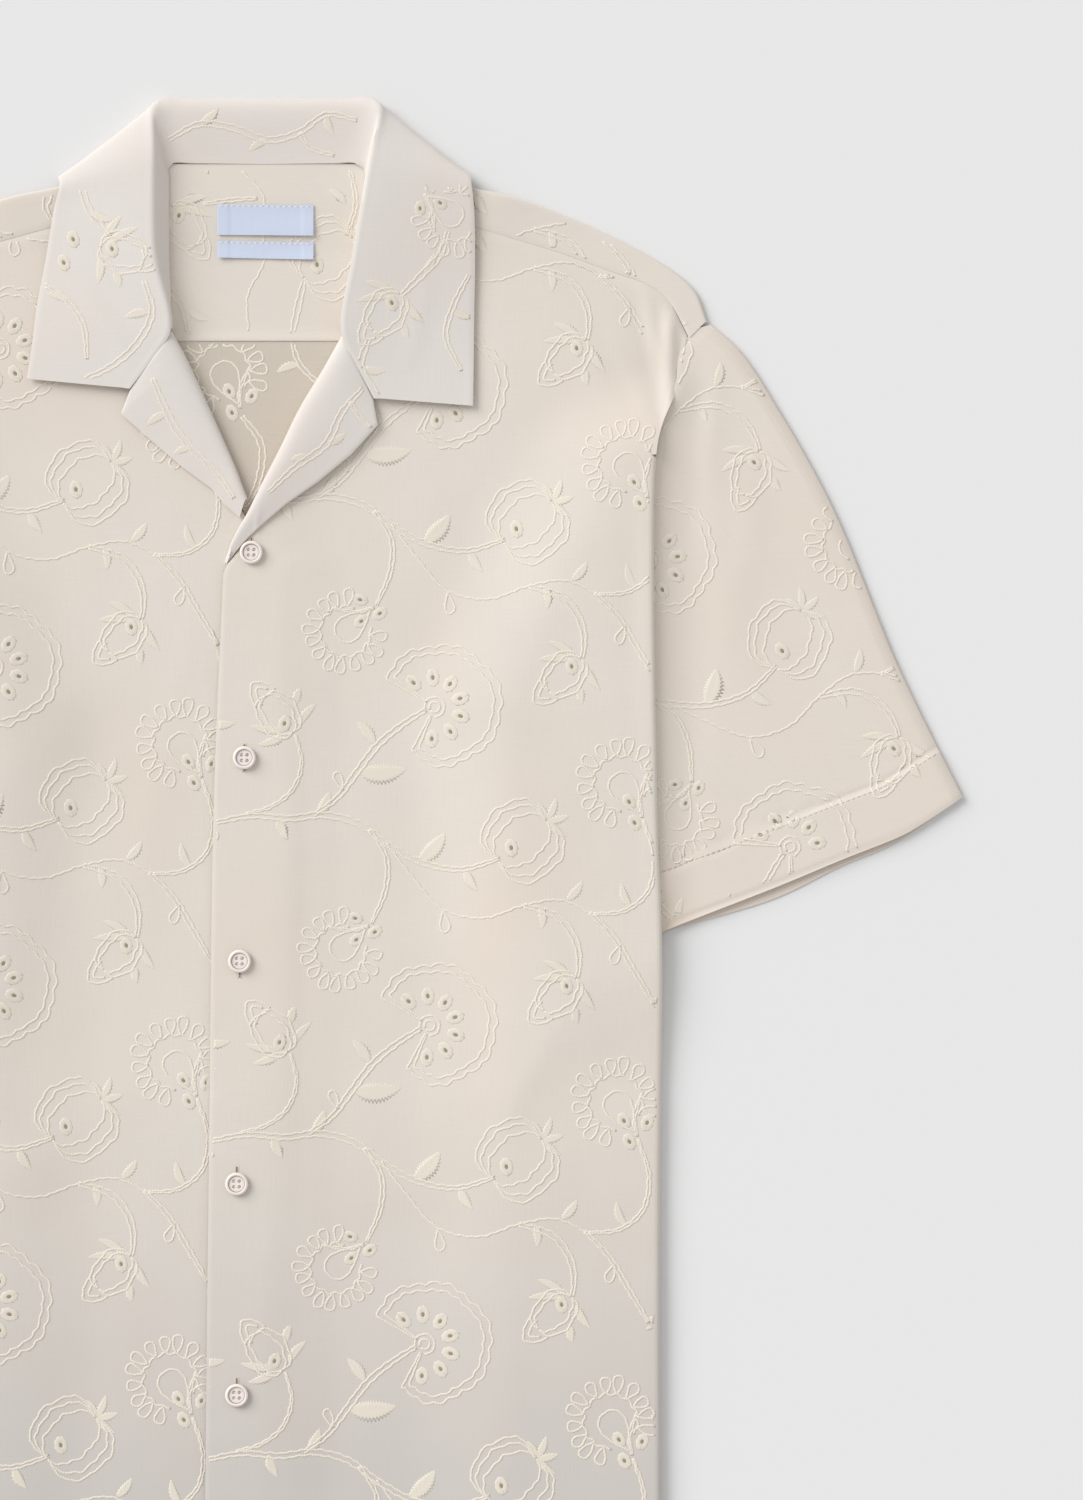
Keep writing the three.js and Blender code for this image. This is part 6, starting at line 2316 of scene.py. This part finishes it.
@dataclass(frozen=True)
class Sewing:
    """The plain sewing: hem stitches, label stitches, buttonholes and the buttons' thread."""

    stitch: float = 2.3
    gap: float = 0.7
    relief: float = 0.5  # of the stitches' height
    from_edge: float = 1.5  # inside the edge of the sleeve's hem band
    hem: float = 22.0
    needle: Embroiderer = Embroiderer()

    def running(self, line: Array) -> Needlework:
        """Running stitches along a plan line: even pieces of it with gaps between.

        Args:
            line: points of the line.

        Returns:
            The needlework, in plan millimetres.
        """
        work, step = Needlework(), 0.5
        line = evenly(line, step)
        pitch = int(round((self.stitch + self.gap) / step))
        long = int(round(self.stitch / step)) + 1
        work.lines = [line[k: k + long: 2] for k in range(0, len(line) - long, pitch)]
        return work

    def hems(self, panels: dict, finishes: Finishes) -> None:
        """Stitches of the sleeve hems and of the hem below.

        Args:
            panels: the cloth pieces.
            finishes: the shirt's finishes.
        """
        inner = beside_line(SLEEVE_HEM_FRONT.line, LIE.hem_band - self.from_edge)
        level = LIE.length - self.hem
        for name, line in (
            ("sleeve_left", inner * [Side.LEFT.value, 1]), ("sleeve_right", inner * [Side.RIGHT.value, 1]),
            ("front_left", [(-24.5, level), (208, level)]), ("front_right", [(-208, level), (4, level)]),
        ):
            work = self.running(np.array(line, float))
            self.needle.work_on(f"stitches_{name}", panels[name], work, finishes, self.relief, 0.5,
                                finishes.seam)

    def labels(self, labels: list, finishes: Finishes) -> None:
        """Stitches along the top edge of each label.

        Args:
            labels: the neck labels.
            finishes: the shirt's finishes.
        """
        for label in labels:
            half, rise = label.size[0] / 2 - 1, label.size[1] / 2 - 1
            line = np.array([(label.x - half, label.drop - rise - half * label.tilt),
                             (label.x + half, label.drop - rise + half * label.tilt)])
            self.needle.work_on(f"stitches_{label.node}", label, self.running(line), finishes,
                                self.relief, 0.45, finishes.floss)

    def buttons(self, buttons: list, panel: Panel, finishes: Finishes) -> None:
        """Each buttonhole is two close bars of stitches with a thin strip of painted shade between, for the
        slit.

        Args:
            buttons: the buttons.
            panel: the front they close.
            finishes: the shirt's finishes.
        """
        for button in buttons:
            top, bottom = button.drop + button.slit[0], button.drop + button.slit[1]
            work, slit = Needlework(), Needlework()
            for aside in (-0.75, 0.75):
                work.sew(np.array([(button.x + aside, top), (button.x + aside, bottom)]), 0.05)
            # painted shade: a dark strip stands for the open slit
            ends = np.array([(button.x, top + 0.6), (button.x, bottom - 0.6)])
            slit.lines.append(evenly(ends, 1.0))
            hole = f"buttonhole_{button.number}"
            for name, under, sewn, relief, fine, floss in (
                (hole, panel, work, self.relief, 0.8, finishes.seam),
                (f"{hole}_slit", panel, slit, 0.8, 0.6, finishes.slit),
                (f"button_{button.number}_thread", button, button.bars(), 1.0, 0.5, finishes.floss),
            ):
                self.needle.work_on(name, under, sewn, finishes, relief, fine, floss)


# ---- studio -------------------------------------------------------------------------------------
@dataclass(frozen=True)
class Studio:
    """Plain pale floor, soft light from the upper left and a camera straight above."""

    centre: tuple[float, float] = (0.1495, 0.0490)
    frame_height: float = 0.780
    lens: float = 100.0
    sensor: float = 36.0
    floor_size: float = 3.0
    sun_strength: float = 2.3
    sun_angle: float = 38.0  # degrees across, which softens the shadows
    sun_tilt: float = 60.0  # degrees from straight down
    sun_from: float = 144.0  # degrees, counted from +X toward +Y
    fill: float = 0.585

    def build(self, finishes: Finishes) -> None:
        """Makes the floor, the lights and the camera.

        Args:
            finishes: the shirt's finishes.
        """
        half = self.floor_size / 2
        x, y = self.centre
        corners = np.array([(x - half, y - half, 0), (x + half, y - half, 0), (x + half, y + half, 0),
                            (x - half, y + half, 0)]) / MM
        floor = make_object("floor", corners, np.array([[0, 1, 2, 3]]), corners[:, :2] * MM,
                            [finishes.floor.material()])
        sun = bpy.data.lights.new("window light", "SUN")
        sun.energy = self.sun_strength
        sun.angle = math.radians(self.sun_angle)
        lamp = bpy.data.objects.new("window light", sun)
        lamp.rotation_euler = (0, math.radians(self.sun_tilt), math.radians(self.sun_from))
        bpy.context.scene.collection.objects.link(lamp)
        world_light = bpy.data.worlds.new("soft room")
        world_light.use_nodes = True
        background = world_light.node_tree.nodes["Background"]
        background.inputs["Color"].default_value = (1, 1, 1, 1)
        background.inputs["Strength"].default_value = self.fill
        bpy.context.scene.world = world_light
        lens = bpy.data.cameras.new("camera")
        lens.lens, lens.sensor_width = self.lens, self.sensor
        camera = bpy.data.objects.new("camera", lens)
        camera.location = (x, y, self.frame_height * self.lens / self.sensor)
        bpy.context.scene.collection.objects.link(camera)
        bpy.context.scene.camera = camera
        bpy.context.scene.view_settings.view_transform = "Standard"


LEFT_LAPEL = (
    (45.3, 125, 62.3, 157.8, 8.5, 5.6), (35.5, 142, 64.5, 170, 8.2, 5.4), (24, 161, 51, 185, 8, 5.4),
    (14, 181.5, 33.5, 199.5, 7.8, 5.4), (4.5, 200, 17, 211, 7.4, 5.3), (-3.5, 216, 4, 222, 6.9, 5.3),
    (-8, 223.5, -2.6, 228.2, 6.2, 5.0), (-12.5, 233, -9.2, 235.6, 5.5, 4.8),
    (-15.2, 241.0, -14.2, 242.2, 2.9, 2.6),
)
RIGHT_LAPEL = (
    (-41.5, 122.9, -63.8, 152.3, 8.5, 5.6), (-35.5, 133.5, -68.5, 164, 8, 5.2),
    (-26, 154, -54, 177, 6.8, 4.6),
    (-17, 174, -36.5, 192, 6, 4.2), (-10, 190, -21.5, 203, 5.4, 4), (-6.4, 199.5, -15, 211, 5.2, 3.9),
    (-3.8, 207, -7.2, 218, 5, 3.9),
)


def main() -> None:
    """Builds the shirt piece by piece, then its setting."""
    logging.basicConfig(level=logging.INFO, format="%(name)s: %(message)s")
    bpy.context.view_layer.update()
    finishes = Finishes()
    panels = [
        Back("back", finishes.inner, (0.57, 0.65), 0.33),
        Yoke("back_yoke", finishes.front, (0.47, 0.12), 0.05),
        Front("front_right", finishes.front, (0.31, 0.72), 0.18, side=Side.RIGHT),
        Front("front_left", finishes.front, (0.33, 0.72), 0.19, side=Side.LEFT),
        Sleeve("sleeve_right", finishes.sleeve, (0.5, 0.28), 0.1, side=Side.RIGHT),
        Sleeve("sleeve_left", finishes.sleeve, (0.5, 0.28), 0.1, side=Side.LEFT),
        Lapel("lapel_right", finishes.collar, (0.05, 0.1), 0.003, side=Side.RIGHT, table=RIGHT_LAPEL),
        Lapel("lapel_left", finishes.collar, (0.05, 0.1), 0.003, side=Side.LEFT, table=LEFT_LAPEL),
        Collar("collar", finishes.collar, (0.46, 0.11), 0.032, spans=((0, 32), (76, None))),
    ]
    labels = [
        Label("label_main", finishes.label, (0.062, 0.016), 0.00095),
        Label("label_small", finishes.label, (0.062, 0.01), 0.00055, drop=78.7, size=(50.0, 9.0),
              tilt=0.02, stands_off=(1.0, 0.3, 0.9)),
    ]
    buttons = [
        Button(1, -1, 236, (-9.2, 5.8)), Button(2, -4.5, 342.5, (-7.5, 7.5)), Button(3, -7, 448, (-6, 9)),
        Button(4, -8.5, 563.5, (-9.4, 5.6)), Button(5, -8.5, 673, (-9.2, 5.8)),
    ]
    for panel in [*panels, *labels]:
        panel.build(finishes)
    shown = {panel.node: panel for panel in panels}
    for button in buttons:
        button.build(finishes, shown["front_left"])
    Vine().sew(shown, finishes)
    sewing = Sewing()
    sewing.hems(shown, finishes)
    sewing.labels(labels, finishes)
    sewing.buttons(buttons, shown["front_left"], finishes)
    Studio().build(finishes)
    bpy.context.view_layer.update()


if __name__ == "__main__":
    main()
